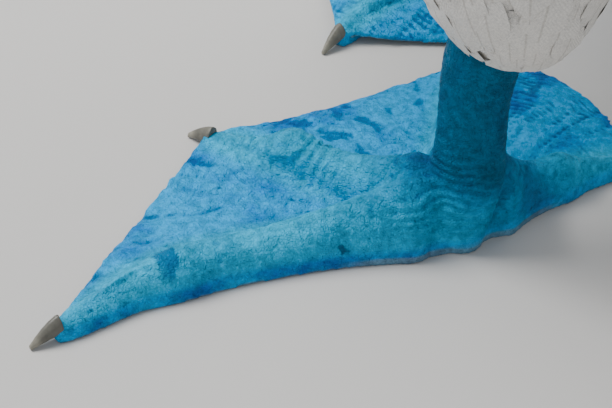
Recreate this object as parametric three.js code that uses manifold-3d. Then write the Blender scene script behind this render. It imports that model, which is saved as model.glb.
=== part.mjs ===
// A blue-footed booby (Sula nebouxii) standing at rest, life size, in millimetres.
// +X is the way the bird faces, +Y its left, +Z up. The floor is z = 0, and the finished bird is
// moved so that the origin lies on the floor under the middle of its box.

import * as THREE from 'three';
import { mergeVertices } from 'three/addons/utils/BufferGeometryUtils.js';
import Module from 'manifold-3d';

const wasm = await Module();
wasm.setup();

// Driving dimensions

const GAP = 0.3;                 // clearance between two pieces that touch
const AROUND = 26;               // sides of the body's rings
const EYE_RADIUS = 6.6;
const EYE_AT = [95.5, 16.6, 481.5];
const LID_TUBE = 1.3;
const LID_RING = 6.3;           // radius of the lids' ring
const LID_OUT = 3.5;            // how far it lies outside the middle of the eye
const BILL_LENGTH = 103;
const BILL_PITCH = -7;           // degrees, nose down
const TAIL_LENGTH = 188;         // of the middle pair, from the tail's root
const TAIL_PITCH = -24;          // degrees below the horizon
const TAIL_FAN = 15;             // degrees to the outermost feather
const RECTRICES = 12;
const VANE = 0.9;                // thickness of a flight feather's vane in these solids
const WEB = 1.7;                 // thickness of the webs
const TARSUS_TOP = 53;           // height of the heel joint
const TARSUS_FOOT = 19;          // height at which the tarsus meets the foot
const CLAW_LENGTH = 6.2;
const LEFT_ANKLE = [-17, 52];    // where each leg stands, seen from above
const RIGHT_ANKLE = [16, -52];

// The body's outline: [back x, back z, belly x, belly z, half width] from wing tips to bill base.
// The first three rings hold only the folded wings, past the tail's root.

const OUTLINE = [
  [-304, 57, -296, 39, 11],       // wing tips
  [-262, 80, -254, 52, 18],
  [-214, 100, -205, 69, 23],
  [-167, 116, -158, 79, 27],      // tail root
  [-138, 132, -126, 71, 34],
  [-105, 156, -86, 65, 44],
  [-77, 180, -41, 62, 53],        // belly, between the legs
  [-53, 194, 4, 68, 59],
  [-33, 213, 49, 93, 63],
  [-16, 238, 86, 139, 65],        // breast
  [-5, 267, 107, 195, 64],
  [4, 294, 112, 248, 59],         // shoulders
  [10, 321, 106, 295, 50],
  [16, 350, 97, 334, 40.5],
  [22, 377, 90, 368, 34],
  [27, 406, 88, 398, 30.5],
  [32, 448, 91, 420, 28.5],       // nape and throat
  [40, 477, 94, 436, 27.5],
  [53, 497, 98, 447, 26.5],
  [74, 505, 103, 453, 24.5],      // crown
  [96, 501, 109, 456, 20],
  [119.4, 492, 115.3, 458, 14.5], // bill base
];
const TAIL_ROOT = 3;             // ring numbers in the list above
const NECK_FOOT = 12.6;
const NECK_TOP = 16.4;
const BILL_BASE = OUTLINE.length - 1;

// Plan of one foot: x forwards, y away from the other foot, from the ankle, for each toe's middle line
// with the height of its back at the root, the middle and the tip, and its half width there.

const TOES = {
  4: { line: [[3, 1], [24, 18.5], [44.5, 40], [56, 61.5]], back: [14, 8.6, 7.2], half: [6, 5, 4.2] },
  3: { line: [[5, 0], [22, 0.5], [40, -0.3], [60, -1.8]], back: [15, 12, 6.6], half: [6, 5, 4] },
  2: { line: [[3, -3], [10, -19], [15.5, -38], [19, -56]], back: [14, 10, 6.4], half: [6, 4.8, 4] },
  1: { line: [[-2, -4], [-7, -14], [-14, -25], [-23, -36]], back: [13, 8.5, 6.2], half: [5.5, 4.4, 3.8] },
};
const WEBS = [
  { from: 4, to: 3, reach: 0.985, sag: 0, crown: 2.2 },
  { from: 3, to: 2, reach: 0.985, sag: 0.02, crown: 3.6 },
  { from: 2, to: 1, reach: 0.97, sag: -0.1, crown: 3.4 },
];

// Geometry helpers

const lerp = THREE.MathUtils.lerp;
const rad = THREE.MathUtils.degToRad;

function geometryOf(points, faces) {
  const g = new THREE.BufferGeometry();
  g.setAttribute('position', new THREE.Float32BufferAttribute(points.flatMap((p) => [p.x, p.y, p.z]), 3));
  g.setIndex(faces);
  return g;
}

// A closed geometry as a solid, turned right side out where its faces point in.
function solid(geometry) {
  const bare = geometry.clone();
  bare.deleteAttribute('normal');
  bare.deleteAttribute('uv');
  const merged = mergeVertices(bare, 1e-4);
  const make = (flip) => {
    const tri = new Uint32Array(merged.index.array);
    for (let i = 0; flip && i < tri.length; i += 3) [tri[i + 1], tri[i + 2]] = [tri[i + 2], tri[i + 1]];
    const mesh = new wasm.Mesh({
      numProp: 3,
      vertProperties: new Float32Array(merged.attributes.position.array),
      triVerts: tri,
    });
    return new wasm.Manifold(mesh);
  };
  const made = make(false);
  return made.volume() < 0 ? make(true) : made;
}

function largest(body) {
  return body.decompose().reduce((a, b) => (b.volume() > a.volume() ? b : a));
}

function join(pieces) {
  return largest(pieces.reduce((a, b) => a.add(b)));
}

function meshOf(name, body, material) {
  const m = body.getMesh();
  const p = new Float32Array(m.numVert * 3);
  for (let i = 0; i < m.numVert; i++) p.set(m.vertProperties.subarray(i * m.numProp, i * m.numProp + 3), 3 * i);
  const g = new THREE.BufferGeometry();
  g.setAttribute('position', new THREE.BufferAttribute(p, 3));
  g.setIndex(new THREE.BufferAttribute(new Uint32Array(m.triVerts), 1));
  g.computeVertexNormals();
  const mesh = new THREE.Mesh(g, material);
  mesh.name = name;
  return mesh;
}

// Rings with the same number of points, joined into one closed skin with a flat cap at each end.
function loft(rings) {
  const n = rings[0].length;
  const points = rings.flat();
  const faces = [];
  for (let i = 0; i + 1 < rings.length; i++) {
    for (let j = 0; j < n; j++) {
      const a = i * n + j;
      const b = i * n + ((j + 1) % n);
      faces.push(a, b, b + n, a, b + n, a + n);
    }
  }
  for (const [ring, start, turn] of [[rings[0], 0, true], [rings.at(-1), points.length - n, false]]) {
    const middle = ring.reduce((s, p) => s.add(p), new THREE.Vector3()).divideScalar(n);
    const m = points.push(middle) - 1;
    for (let j = 0; j < n; j++) {
      const a = start + j;
      const b = start + ((j + 1) % n);
      faces.push(...(turn ? [m, b, a] : [m, a, b]));
    }
  }
  return geometryOf(points, faces);
}

// A thin plate from two grids of points, split into triangles alike on both faces.
function plate(rows, cols, at) {
  const points = [];
  const faces = [];
  for (const side of [1, 0]) {
    for (let i = 0; i < rows; i++) for (let j = 0; j < cols; j++) points.push(at(i, j, side));
  }
  const top = (i, j) => i * cols + j;
  const low = (i, j) => rows * cols + i * cols + j;
  for (let i = 0; i + 1 < rows; i++) {
    for (let j = 0; j + 1 < cols; j++) {
      const [a, b, c, d] = [[i, j], [i + 1, j], [i + 1, j + 1], [i, j + 1]];
      faces.push(top(...a), top(...b), top(...c), top(...a), top(...c), top(...d));
      faces.push(low(...a), low(...c), low(...b), low(...a), low(...d), low(...c));
    }
  }
  const rim = [];
  for (let i = 0; i + 1 < rows; i++) rim.push([i, 0]);
  for (let j = 0; j + 1 < cols; j++) rim.push([rows - 1, j]);
  for (let i = rows - 1; i > 0; i--) rim.push([i, cols - 1]);
  for (let j = cols - 1; j > 0; j--) rim.push([0, j]);
  rim.forEach((a, k) => {
    const b = rim[(k + 1) % rim.length];
    faces.push(top(...a), low(...a), low(...b), top(...a), low(...b), top(...b));
  });
  return geometryOf(points, faces);
}

function smoothLine(values) {
  return new THREE.CatmullRomCurve3(values.map((v) => new THREE.Vector3(...v)), false, 'catmullrom', 0.5);
}

// The body's rings

const backLine = smoothLine(OUTLINE.map((r) => [r[0], 0, r[1]]));
const bellyLine = smoothLine(OUTLINE.map((r) => [r[2], 0, r[3]]));
const widthLine = smoothLine(OUTLINE.map((r, i) => [i, r[4], 0]));

function ringAt(station) {
  const t = THREE.MathUtils.clamp(station / BILL_BASE, 0, 1);
  const back = backLine.getPoint(t);
  const belly = bellyLine.getPoint(t);
  const centre = back.clone().add(belly).multiplyScalar(0.5);
  const up = back.clone().sub(belly);
  const half = up.length() / 2;
  return { centre, up: up.normalize(), half, width: widthLine.getPoint(t).y };
}

// A point of the body's surface: angle is in degrees from the middle of the back, left side positive.
function onBody(station, angle, lift = 0) {
  const r = ringAt(station);
  const a = rad(angle);
  return r.centre.clone()
    .addScaledVector(r.up, (r.half + lift) * Math.cos(a))
    .add(new THREE.Vector3(0, (r.width + lift) * Math.sin(a), 0));
}

function bodyPiece(from, to, steps, grow = 0) {
  const rings = [];
  for (let i = 0; i <= steps; i++) {
    const station = lerp(from, to, i / steps);
    rings.push(Array.from({ length: AROUND }, (_, j) => onBody(station, (360 * j) / AROUND, grow)));
  }
  return solid(loft(rings));
}

// Materials

function plumage(colour) {
  return new THREE.MeshStandardMaterial({ color: colour, roughness: 0.85, metalness: 0 });
}
const white = plumage(0xece9e2);
const brown = plumage(0x4b3a2e);
const streaked = plumage(0x9a8470);
const footSkin = new THREE.MeshStandardMaterial({ color: 0x2f9fd0, roughness: 0.45, metalness: 0 });
const billHorn = new THREE.MeshStandardMaterial({ color: 0x6f8088, roughness: 0.4, metalness: 0 });
const clawHorn = new THREE.MeshStandardMaterial({ color: 0x8a8a84, roughness: 0.5, metalness: 0 });
const eyeGloss = new THREE.MeshStandardMaterial({ color: 0xe8c84a, roughness: 0.1, metalness: 0 });

const bird = new THREE.Group();

// Head, with the lids and the corner of the mouth, and the eyes

function ball(radius, at, detail = 14) {
  const g = new THREE.SphereGeometry(radius, detail, Math.round(detail * 0.7));
  return g.translate(...at);
}

function headSolid() {
  let head = bodyPiece(NECK_TOP, BILL_BASE, 13);
  for (const side of [1, -1]) {
    const [x, y, z] = [EYE_AT[0], side * EYE_AT[1], EYE_AT[2]];
    const lid = new THREE.TorusGeometry(LID_RING, LID_TUBE, 5, 14);
    lid.rotateX(Math.PI / 2).rotateZ(side * rad(-12)).translate(x + 0.4, y + side * LID_OUT, z);
    head = head.add(solid(lid)).subtract(solid(ball(EYE_RADIUS + GAP, [x, y, z])));
  }
  const mouth = new THREE.BoxGeometry(46, 80, 0.9);
  mouth.rotateY(rad(9)).translate(108, 0, 469.5);
  const core = bodyPiece(NECK_TOP, BILL_BASE, 13, -1.4);
  return largest(head.subtract(solid(mouth).subtract(core)));
}

// The bill: each half is a tapering trough with a flat cutting face, the upper one hooked at its tip.

const BILL_UPPER = [[0, 16.5, 13], [14, 13.6, 11.6], [34, 10.4, 9.4], [58, 7.6, 7], [80, 5.2, 5], [94, 3.6, 3.4], [BILL_LENGTH, -2.2, 1]];
const BILL_LOWER = [[0, -15, 12.4], [14, -13, 10.8], [34, -10.6, 8.4], [58, -8.4, 6.2], [80, -6.6, 4.2], [BILL_LENGTH - 6, -4.4, 1.4]];
const CUT_LINE = -1.6;           // height of the cutting edges in the bill's own frame
const BILL_AT = [117.4, 475];    // middle of the bill's base

function billHalf(table, flatAt) {
  const line = smoothLine(table);
  const sides = 8;
  const steps = 14;
  const rings = [];
  for (let i = 0; i <= steps; i++) {
    const p = line.getPoint(i / steps);
    const flat = flatAt(p.x);
    rings.push(Array.from({ length: sides + 1 }, (_, j) => {
      const a = (Math.PI * j) / sides;
      return new THREE.Vector3(p.x, p.z * Math.cos(a), flat + (p.y - flat) * Math.sin(a) ** 0.9);
    }));
  }
  return loft(rings).rotateY(rad(-BILL_PITCH)).translate(BILL_AT[0] + 0.6, 0, BILL_AT[1]);
}

function upperFlat(x) {
  return CUT_LINE - 2.2 * Math.max(0, x / BILL_LENGTH - 0.72) / 0.28;
}

// Tail: a covert-clad root and the feathers that fan out from it, the middle pair longest and on top

function vane({ at, steps, width, thickness = VANE }) {
  return solid(plate(steps + 1, 3, (i, j, side) => {
    const t = i / steps;
    const across = (j - 1) * width(t);
    const camber = j === 1 ? 0.35 : 0;
    const thick = lerp(thickness, 0.5, t);
    return at(t, across, camber + (side - 0.5) * thick);
  }));
}

function featherWidth(half, tip = 0.22) {
  return (t) => half * Math.min(1, 0.55 + 2.2 * t) * (t < 0.62 ? 1 : lerp(1, tip, ((t - 0.62) / 0.38) ** 1.5));
}

function tailSolid() {
  const root = new THREE.Vector3(-158, 0, 96);
  const pitch = rad(TAIL_PITCH);
  const back = new THREE.Vector3(-Math.cos(pitch), 0, Math.sin(pitch));
  const up = new THREE.Vector3(Math.sin(pitch), 0, Math.cos(pitch)).multiplyScalar(1);
  const place = (along, across, lift) => root.clone().addScaledVector(back, along)
    .add(new THREE.Vector3(0, across, 0)).addScaledVector(up, lift);
  const pairs = RECTRICES / 2;
  const pieces = [];
  for (let k = 0; k < RECTRICES; k++) {
    const side = k % 2 ? -1 : 1;
    const rank = Math.floor(k / 2);
    const share = rank / (pairs - 1);
    const turn = rad(side * (1.5 + (TAIL_FAN - 1.5) * share));
    const length = TAIL_LENGTH * (1 - 0.4 * share ** 1.3);
    const sink = -0.95 * rank - (side < 0 ? 0.45 : 0);
    pieces.push(vane({
      steps: 4,
      width: featherWidth(10.5, 0.16),
      at: (t, across, lift) => {
        const along = 12 + (length - 12) * t;
        const x = along * Math.cos(turn) - across * Math.sin(turn);
        const y = along * Math.sin(turn) + across * Math.cos(turn) + side * 2.5;
        return place(x, y, sink * (0.4 + 0.6 * t) + 1.5 + lift - 0.1 * Math.abs(y));
      },
    }));
  }
  const coverts = [];
  for (let i = 0; i <= 8; i++) {
    const t = i / 8;
    const first = ringAt(TAIL_ROOT);
    const half = lerp(first.half, 2.2, t ** 0.8);
    const wide = lerp(first.width, 21, t);
    const middle = i === 0 ? first.centre.clone().add(new THREE.Vector3(-GAP, 0, 0)) : place(4 + 74 * t, 0, 0.5);
    const rise = i === 0 ? first.up : up;
    coverts.push(Array.from({ length: 18 }, (_, j) => {
      const a = (2 * Math.PI * j) / 18;
      return middle.clone().addScaledVector(rise, half * Math.cos(a)).add(new THREE.Vector3(0, wide * Math.sin(a), 0));
    }));
  }
  return join([solid(loft(coverts)), ...pieces]);
}

// Wings, folded on the body: every feather is bent round the body's own rings

const WRIST = 11.5;              // ring of the wrist
const WING_TIP = 0.05;
const WING_LIFT = 1.3;           // inner face over the body

// The wing's upper and lower edge, in degrees round the body, by share of the way from wrist to tip.
const upperEdge = smoothLine([[0, 70, 0], [0.1, 42, 0], [0.3, 26, 0], [0.55, 20, 0], [0.75, 20, 0], [0.9, 26, 0], [1, 38, 0]]);
const lowerEdge = smoothLine([[0, 108, 0], [0.1, 122, 0], [0.3, 121, 0], [0.55, 108, 0], [0.75, 88, 0], [0.9, 74, 0], [1, 62, 0]]);

function onWing(share, height, lift) {
  const low = lowerEdge.getPoint(share).y;
  const high = upperEdge.getPoint(share).y;
  return onBody(lerp(WRIST, WING_TIP, share), lerp(low, high, height), WING_LIFT + lift);
}

// The arm under its small coverts: thick at the wrist and forearm, thin towards the edges.
function wingArm(reach) {
  const rows = 11;
  const cols = 7;
  return solid(plate(rows, cols, (i, j, side) => {
    const share = reach * (i / (rows - 1));
    const height = j / (cols - 1);
    const swell = Math.sin(Math.PI * lerp(0.08, 0.94, height)) * Math.sin(Math.PI * lerp(0.06, 0.98, i / (rows - 1)) ** 0.7);
    return onWing(share, height, side * (1 + 8 * Math.max(0, swell)));
  }));
}

function wingFeather({ from, to, half, lift, steps = 5, tip = 0.25 }) {
  const width = featherWidth(1, tip);
  return solid(plate(steps + 1, 3, (i, j, side) => {
    const t = i / steps;
    const share = lerp(from[0], to[0], t);
    const middle = lerp(from[1], to[1], t);
    const ring = ringAt(lerp(WRIST, WING_TIP, share));
    const span = rad(lowerEdge.getPoint(share).y - upperEdge.getPoint(share).y) * (ring.half + ring.width) / 2;
    const height = middle + ((j - 1) * half * width(t)) / span;
    const camber = j === 1 ? 0.3 : 0;
    return onWing(share, height, lerp(lift[0], lift[1], t) + camber + side * lerp(VANE, 0.55, t));
  }));
}

// The wing's place with clearance, to be cut out of the thigh it lies against.
function wingRoom(side) {
  const rows = 20;
  return solid(plate(rows, 9, (i, j, over) => {
    const p = onWing(lerp(0.02, 1, i / (rows - 1)), lerp(-0.07, 1, j / 8), over * 15 - GAP - WING_LIFT);
    return new THREE.Vector3(p.x, side * p.y, p.z);
  }));
}

// One tier of the wing's feathers: each goes from its root to its tip, the next lying over it.
function tier({ count, root, tip, half, lift, rise, steps }) {
  return Array.from({ length: count }, (_, k) => wingFeather({
    from: [root.share + k * root.shareStep, root.height + k * root.heightStep],
    to: [tip.share + k * tip.shareStep, tip.height + k * tip.heightStep],
    half: half - 0.12 * k,
    lift: [lift[0] + rise * k, lift[1] + rise * k],
    steps,
    tip: 0.3,
  }));
}

const PRIMARIES = {
  count: 6, half: 9.6, lift: [2, 1.1], rise: 0.4, steps: 4,
  root: { share: 0.44, shareStep: -0.008, height: 0.2, heightStep: 0.045 },
  tip: { share: 1, shareStep: -0.054, height: 0.42, heightStep: 0.045 },
};
const SECONDARIES = {
  count: 5, half: 12, lift: [3, 2.6], rise: 0.35, steps: 3,
  root: { share: 0.25, shareStep: 0.012, height: 0.22, heightStep: 0.06 },
  tip: { share: 0.53, shareStep: 0.042, height: 0.1, heightStep: 0.14 },
};
const GREATER_COVERTS = {
  count: 4, half: 12.5, lift: [4.2, 4.6], rise: 0.35, steps: 2,
  root: { share: 0.1, shareStep: 0.022, height: 0.2, heightStep: 0.075 },
  tip: { share: 0.32, shareStep: 0.055, height: 0.1, heightStep: 0.2 },
};
const TERTIALS = {
  count: 3, half: 11, lift: [3.4, 3.4], rise: 0.5, steps: 3,
  root: { share: 0.32, shareStep: -0.02, height: 0.7, heightStep: 0.09 },
  tip: { share: 0.74, shareStep: -0.045, height: 0.62, heightStep: 0.14 },
};

function wingSolid() {
  const feathers = [PRIMARIES, SECONDARIES, GREATER_COVERTS, TERTIALS].flatMap(tier);
  return largest(join([wingArm(0.66), ...feathers]).subtract(bellyRoom));
}

// Legs and feet

const mirrorFoot = (side) => (side > 0 ? [LEFT_ANKLE, 1] : [RIGHT_ANKLE, -1]);

function footPoint(side, x, y, z) {
  const [ankle, turn] = mirrorFoot(side);
  return new THREE.Vector3(ankle[0] + x, ankle[1] + turn * y, z);
}

// A quantity given at a toe's root, middle and tip, at share t of its length.
function along3(values, t) {
  return t < 0.5 ? lerp(values[0], values[1], THREE.MathUtils.smoothstep(t, 0, 0.5))
    : lerp(values[1], values[2], THREE.MathUtils.smoothstep(t, 0.5, 1));
}

function toeLine(number) {
  return smoothLine(TOES[number].line.map(([x, y]) => [x, y, 0]));
}

function toeSolid(side, number) {
  const toe = TOES[number];
  const line = toeLine(number);
  const rings = [];
  const steps = 9;
  const sides = 6;
  for (let i = 0; i <= steps; i++) {
    const t = i / steps;
    const p = line.getPoint(t);
    const tangent = line.getTangent(t);
    const end = t > 0.92 ? 0.8 : 1;
    const half = along3(toe.half, t) * end;
    const back = along3(toe.back, t) * end;
    rings.push(Array.from({ length: sides + 1 }, (_, j) => {
      const a = (Math.PI * j) / sides;
      const across = half * Math.cos(a);
      const z = back * Math.sin(a) ** 0.8;
      return footPoint(side, p.x - tangent.y * across, p.y + tangent.x * across, z);
    }));
  }
  return solid(loft(rings));
}

function webSolid(side, web) {
  const lines = [toeLine(web.from), toeLine(web.to)];
  const rows = 7;
  const cols = 6;
  const height = (n, t) => along3(TOES[n].back, t) * 0.62;
  return solid(plate(rows, cols, (i, j, top) => {
    const u = j / (cols - 1);
    const belly = 4 * u * (1 - u);
    const t = lerp(0.06, web.reach - web.sag * belly, i / (rows - 1));
    const [a, b] = lines.map((line) => line.getPoint(t));
    const low = 1.2 + web.crown * belly * (1 - t) * t * 4;
    const edge = Math.abs(2 * u - 1) ** 2.4;
    const z = lerp(low, lerp(height(web.from, t), height(web.to, t), u), edge);
    return footPoint(side, lerp(a.x, b.x, u), lerp(a.y, b.y, u), top ? z + WEB / 2 : Math.max(0, z - WEB / 2));
  }));
}

// The pad under the ankle and the swelling that carries the tarsus: [height, x, half length, half width]
const ANKLE = [[0, 0, 8, 6.2], [4, -0.2, 8.4, 6.4], [10, -0.6, 8.2, 6.1], [15, -1, 7.9, 5.8], [TARSUS_FOOT, -1.5, 7.6, 5.4]];
const TARSUS = [
  [TARSUS_FOOT + GAP, -1.5, 7.6, 5.4],
  [28, -1.7, 7, 4.8],
  [38, -2, 7, 4.8],
  [47, -3.4, 7.6, 5.4],
  [TARSUS_TOP, -4.4, 7, 5],
];

function pillar(side, table, steps) {
  const line = new THREE.CatmullRomCurve3(table.map((r) => new THREE.Vector3(r[1], 0, r[0])));
  const size = new THREE.CatmullRomCurve3(table.map((r) => new THREE.Vector3(r[2], r[3], 0)));
  const sides = 12;
  const rings = [];
  for (let i = 0; i <= steps; i++) {
    const p = line.getPoint(i / steps);
    const s = size.getPoint(i / steps);
    rings.push(Array.from({ length: sides }, (_, j) => {
      const a = (2 * Math.PI * j) / sides;
      return footPoint(side, p.x + s.x * Math.cos(a), s.y * Math.sin(a), p.z);
    }));
  }
  return solid(loft(rings));
}

function footSolid(side) {
  const toes = Object.keys(TOES).map((n) => toeSolid(side, n));
  const webs = WEBS.map((web) => webSolid(side, web));
  return join([pillar(side, ANKLE, 6), ...toes, ...webs]);
}

function clawSolid(side, number) {
  const line = toeLine(number);
  const tip = line.getPoint(1);
  const tangent = line.getTangent(1);
  const rings = [];
  const steps = 5;
  for (let i = 0; i <= steps; i++) {
    const t = i / steps;
    const out = GAP + 0.05 + CLAW_LENGTH * t;
    const r = lerp(2.1, 0.45, t ** 1.3);
    const z = Math.max(r, lerp(3.2, 0.7, t ** 1.6));
    rings.push(Array.from({ length: 8 }, (_, j) => {
      const a = (2 * Math.PI * j) / 8;
      const across = r * 0.85 * Math.cos(a);
      const x = tip.x + tangent.x * out - tangent.y * across;
      const y = tip.y + tangent.y * out + tangent.x * across;
      return footPoint(side, x, y, z + r * Math.sin(a));
    }));
  }
  return solid(loft(rings));
}

// Feathered thigh: [height, x, y, half length, half width] from inside the belly to the heel joint
const THIGH = [
  [128, 14, -20, 36, 20],
  [104, 8, -13, 33, 22],
  [85, 0, -4, 28, 21],
  [69, -5, 0.5, 20, 17],
  [59, -7, 1.5, 15, 13.5],
  [50.5, -8, 1, 9.5, 8.5],
];

function thighSolid(side, rooms) {
  const line = new THREE.CatmullRomCurve3(THIGH.map((r) => new THREE.Vector3(r[1], r[2], r[0])));
  const size = new THREE.CatmullRomCurve3(THIGH.map((r) => new THREE.Vector3(r[3], r[4], 0)));
  const sides = 18;
  const steps = 10;
  const rings = [];
  for (let i = 0; i <= steps; i++) {
    const p = line.getPoint(i / steps);
    const s = size.getPoint(i / steps);
    rings.push(Array.from({ length: sides }, (_, j) => {
      const a = (2 * Math.PI * j) / sides;
      return footPoint(side, p.x + s.x * Math.cos(a), p.y + s.y * Math.sin(a), p.z);
    }));
  }
  return largest(rooms.reduce((body, room) => body.subtract(room), solid(loft(rings))));
}

// Putting the bird together

const bellyRoom = bodyPiece(TAIL_ROOT, NECK_FOOT, 18, GAP);

bird.add(meshOf('head', headSolid(), streaked));
bird.add(meshOf('bill_upper', solid(billHalf(BILL_UPPER, upperFlat)), billHorn));
bird.add(meshOf('bill_lower', solid(billHalf(BILL_LOWER, (x) => upperFlat(x) - 0.45)), billHorn));
bird.add(meshOf('neck', bodyPiece(NECK_FOOT, NECK_TOP - 0.012, 7), streaked));
bird.add(meshOf('torso', bodyPiece(TAIL_ROOT, NECK_FOOT - 0.012, 18), white));
bird.add(meshOf('tail', tailSolid(), brown));

for (const side of [1, -1]) {
  const name = side > 0 ? 'left' : 'right';
  bird.add(meshOf(`${name}_eye`, solid(ball(EYE_RADIUS, [EYE_AT[0], side * EYE_AT[1], EYE_AT[2]])), eyeGloss));
  const wing = meshOf(`${name}_wing`, wingSolid(), brown);
  wing.scale.y = side;
  bird.add(wing);
  const tarsus = pillar(side, TARSUS, 6);
  const tarsusRoom = pillar(side, TARSUS.map(([z, x, a, b]) => [z > 40 ? z + GAP : z, x, a + GAP, b + GAP]), 6);
  bird.add(meshOf(`${name}_thigh`, thighSolid(side, [bellyRoom, wingRoom(side), tarsusRoom]), white));
  bird.add(meshOf(`${name}_tarsus`, tarsus, footSkin));
  bird.add(meshOf(`${name}_foot`, footSolid(side), footSkin));
  for (const number of Object.keys(TOES)) {
    bird.add(meshOf(`${name}_claw_${number}`, clawSolid(side, number), clawHorn));
  }
}

const box = new THREE.Box3().setFromObject(bird);
bird.position.set(-(box.min.x + box.max.x) / 2, -(box.min.y + box.max.y) / 2, 0);

export default bird;
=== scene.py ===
"""A blue-footed booby standing at rest, dressed with skin, feathers, feet, bill and eyes.

Lengths in the tables are millimetres in the bird's own frame: +X is the way it faces, +Y its left,
+Z up, with the floor at z = 0. The meshes are in metres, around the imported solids.
"""

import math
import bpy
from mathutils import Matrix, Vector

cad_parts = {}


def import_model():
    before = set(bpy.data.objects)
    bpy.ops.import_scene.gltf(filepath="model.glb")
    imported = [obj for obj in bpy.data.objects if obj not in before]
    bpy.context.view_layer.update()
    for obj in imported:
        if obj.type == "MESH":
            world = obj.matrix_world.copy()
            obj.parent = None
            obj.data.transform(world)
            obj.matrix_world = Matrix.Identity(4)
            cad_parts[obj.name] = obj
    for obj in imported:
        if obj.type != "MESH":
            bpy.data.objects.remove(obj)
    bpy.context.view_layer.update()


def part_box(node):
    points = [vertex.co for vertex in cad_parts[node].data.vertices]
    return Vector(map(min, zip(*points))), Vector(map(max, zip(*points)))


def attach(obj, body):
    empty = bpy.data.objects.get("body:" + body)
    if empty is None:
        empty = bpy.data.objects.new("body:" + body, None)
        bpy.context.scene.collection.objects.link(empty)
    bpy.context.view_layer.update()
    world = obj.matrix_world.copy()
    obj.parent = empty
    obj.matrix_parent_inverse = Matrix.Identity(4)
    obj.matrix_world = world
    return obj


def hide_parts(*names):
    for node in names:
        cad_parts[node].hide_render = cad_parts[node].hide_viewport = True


bl_info = {
    "name": "Blue-footed booby",
    "version": (1, 0, 0),
    "blender": (4, 5, 0),
    "location": "View3D > Sidebar > Booby",
    "description": "Builds a life-size blue-footed booby, piece by piece",
    "category": "Object",
}

import bmesh
import bpy
import numpy as np
from mathutils import Vector

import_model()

# Sizes shared with the solids

MILLIMETRE = 0.001
SIDES = ((1, "left"), (-1, "right"))
EYE_RADIUS = 6.6
EYE_AT = (95.5, 16.6, 481.5)
BILL_LENGTH = 103.0
BILL_PITCH = math.radians(-7)
BILL_AT = (117.4, 475.0)
TAIL_LENGTH = 188.0
TAIL_PITCH = math.radians(-24)
TAIL_FAN = 15.0
TAIL_ROOT_AT = (-158.0, 0.0, 96.0)
ANKLES = {1: (-17.0, 52.0), -1: (16.0, -52.0)}
WRIST = 11.5
WING_TIP = 0.05
WING_LIFT = 1.3

# The body's outline: back x, back z, belly x, belly z, half width, from wing tips to bill base

OUTLINE = np.array([
    (-304, 57, -296, 39, 11),
    (-262, 80, -254, 52, 18),
    (-214, 100, -205, 69, 23),
    (-167, 116, -158, 79, 27),
    (-138, 132, -126, 71, 34),
    (-105, 156, -86, 65, 44),
    (-77, 180, -41, 62, 53),
    (-53, 194, 4, 68, 59),
    (-33, 213, 49, 93, 63),
    (-16, 238, 86, 139, 65),
    (-5, 267, 107, 195, 64),
    (4, 294, 112, 248, 59),
    (10, 321, 106, 295, 50),
    (16, 350, 97, 334, 40.5),
    (22, 377, 90, 368, 34),
    (27, 406, 88, 398, 30.5),
    (32, 448, 91, 420, 28.5),
    (40, 477, 94, 436, 27.5),
    (53, 497, 98, 447, 26.5),
    (74, 505, 103, 453, 24.5),
    (96, 501, 109, 456, 20),
    (119.4, 492, 115.3, 458, 14.5),
], float)
TAIL_ROOT = 3
BILL_BASE = len(OUTLINE) - 1

# Edges of the folded wing: share of the way from wrist to tip, degrees from the middle of the back

UPPER_EDGE = np.array([(0, 70), (0.1, 42), (0.3, 26), (0.55, 20), (0.75, 20), (0.9, 26), (1, 38)], float)
LOWER_EDGE = np.array([(0, 108), (0.1, 122), (0.3, 121), (0.55, 108), (0.75, 88), (0.9, 74), (1, 62)], float)

# The thigh: height, middle in plan from the ankle, half length and half width

THIGH = np.array([
    (128, 14, -20, 36, 20),
    (104, 8, -13, 33, 22),
    (85, 0, -4, 28, 21),
    (69, -5, 0.5, 20, 17),
    (59, -7, 1.5, 15, 13.5),
    (50.5, -8, 1, 9.5, 8.5),
], float)

# Toes, outer to hind: middle line from the ankle, height and half width at root, middle and tip

TOES = {
    4: {"line": [(3, 1), (24, 18.5), (44.5, 40), (56, 61.5)], "back": (14, 8.6, 7.2), "half": (6, 5, 4.2)},
    3: {"line": [(5, 0), (22, 0.5), (40, -0.3), (60, -1.8)], "back": (15, 12, 6.6), "half": (6, 5, 4)},
    2: {"line": [(3, -3), (10, -19), (15.5, -38), (19, -56)], "back": (14, 10, 6.4), "half": (6, 4.8, 4)},
    1: {
        "line": [(-2, -4), (-7, -14), (-14, -25), (-23, -36)],
        "back": (13, 8.5, 6.2),
        "half": (5.5, 4.4, 3.8),
    },
}

# Camera: where it stands and how it looks, from the left ankle, worked out from the photograph

CAMERA_AT = (-75.0, 206.0, 204.8)
CAMERA_HEADING = 152.0
CAMERA_TILT = 42.0
CAMERA_LENS = 85.94

# Where the bird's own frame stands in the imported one, found from the middle between its eyes

EYES_MIDDLE = np.mean([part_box(name + "_eye") for _, name in SIDES], axis=(0, 1))
SHIFT = np.array([EYES_MIDDLE[0] - EYE_AT[0] * MILLIMETRE, EYES_MIDDLE[1], 0.0])
UP = np.array([0.0, 0.0, 1.0])


# Small mathematics

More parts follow.
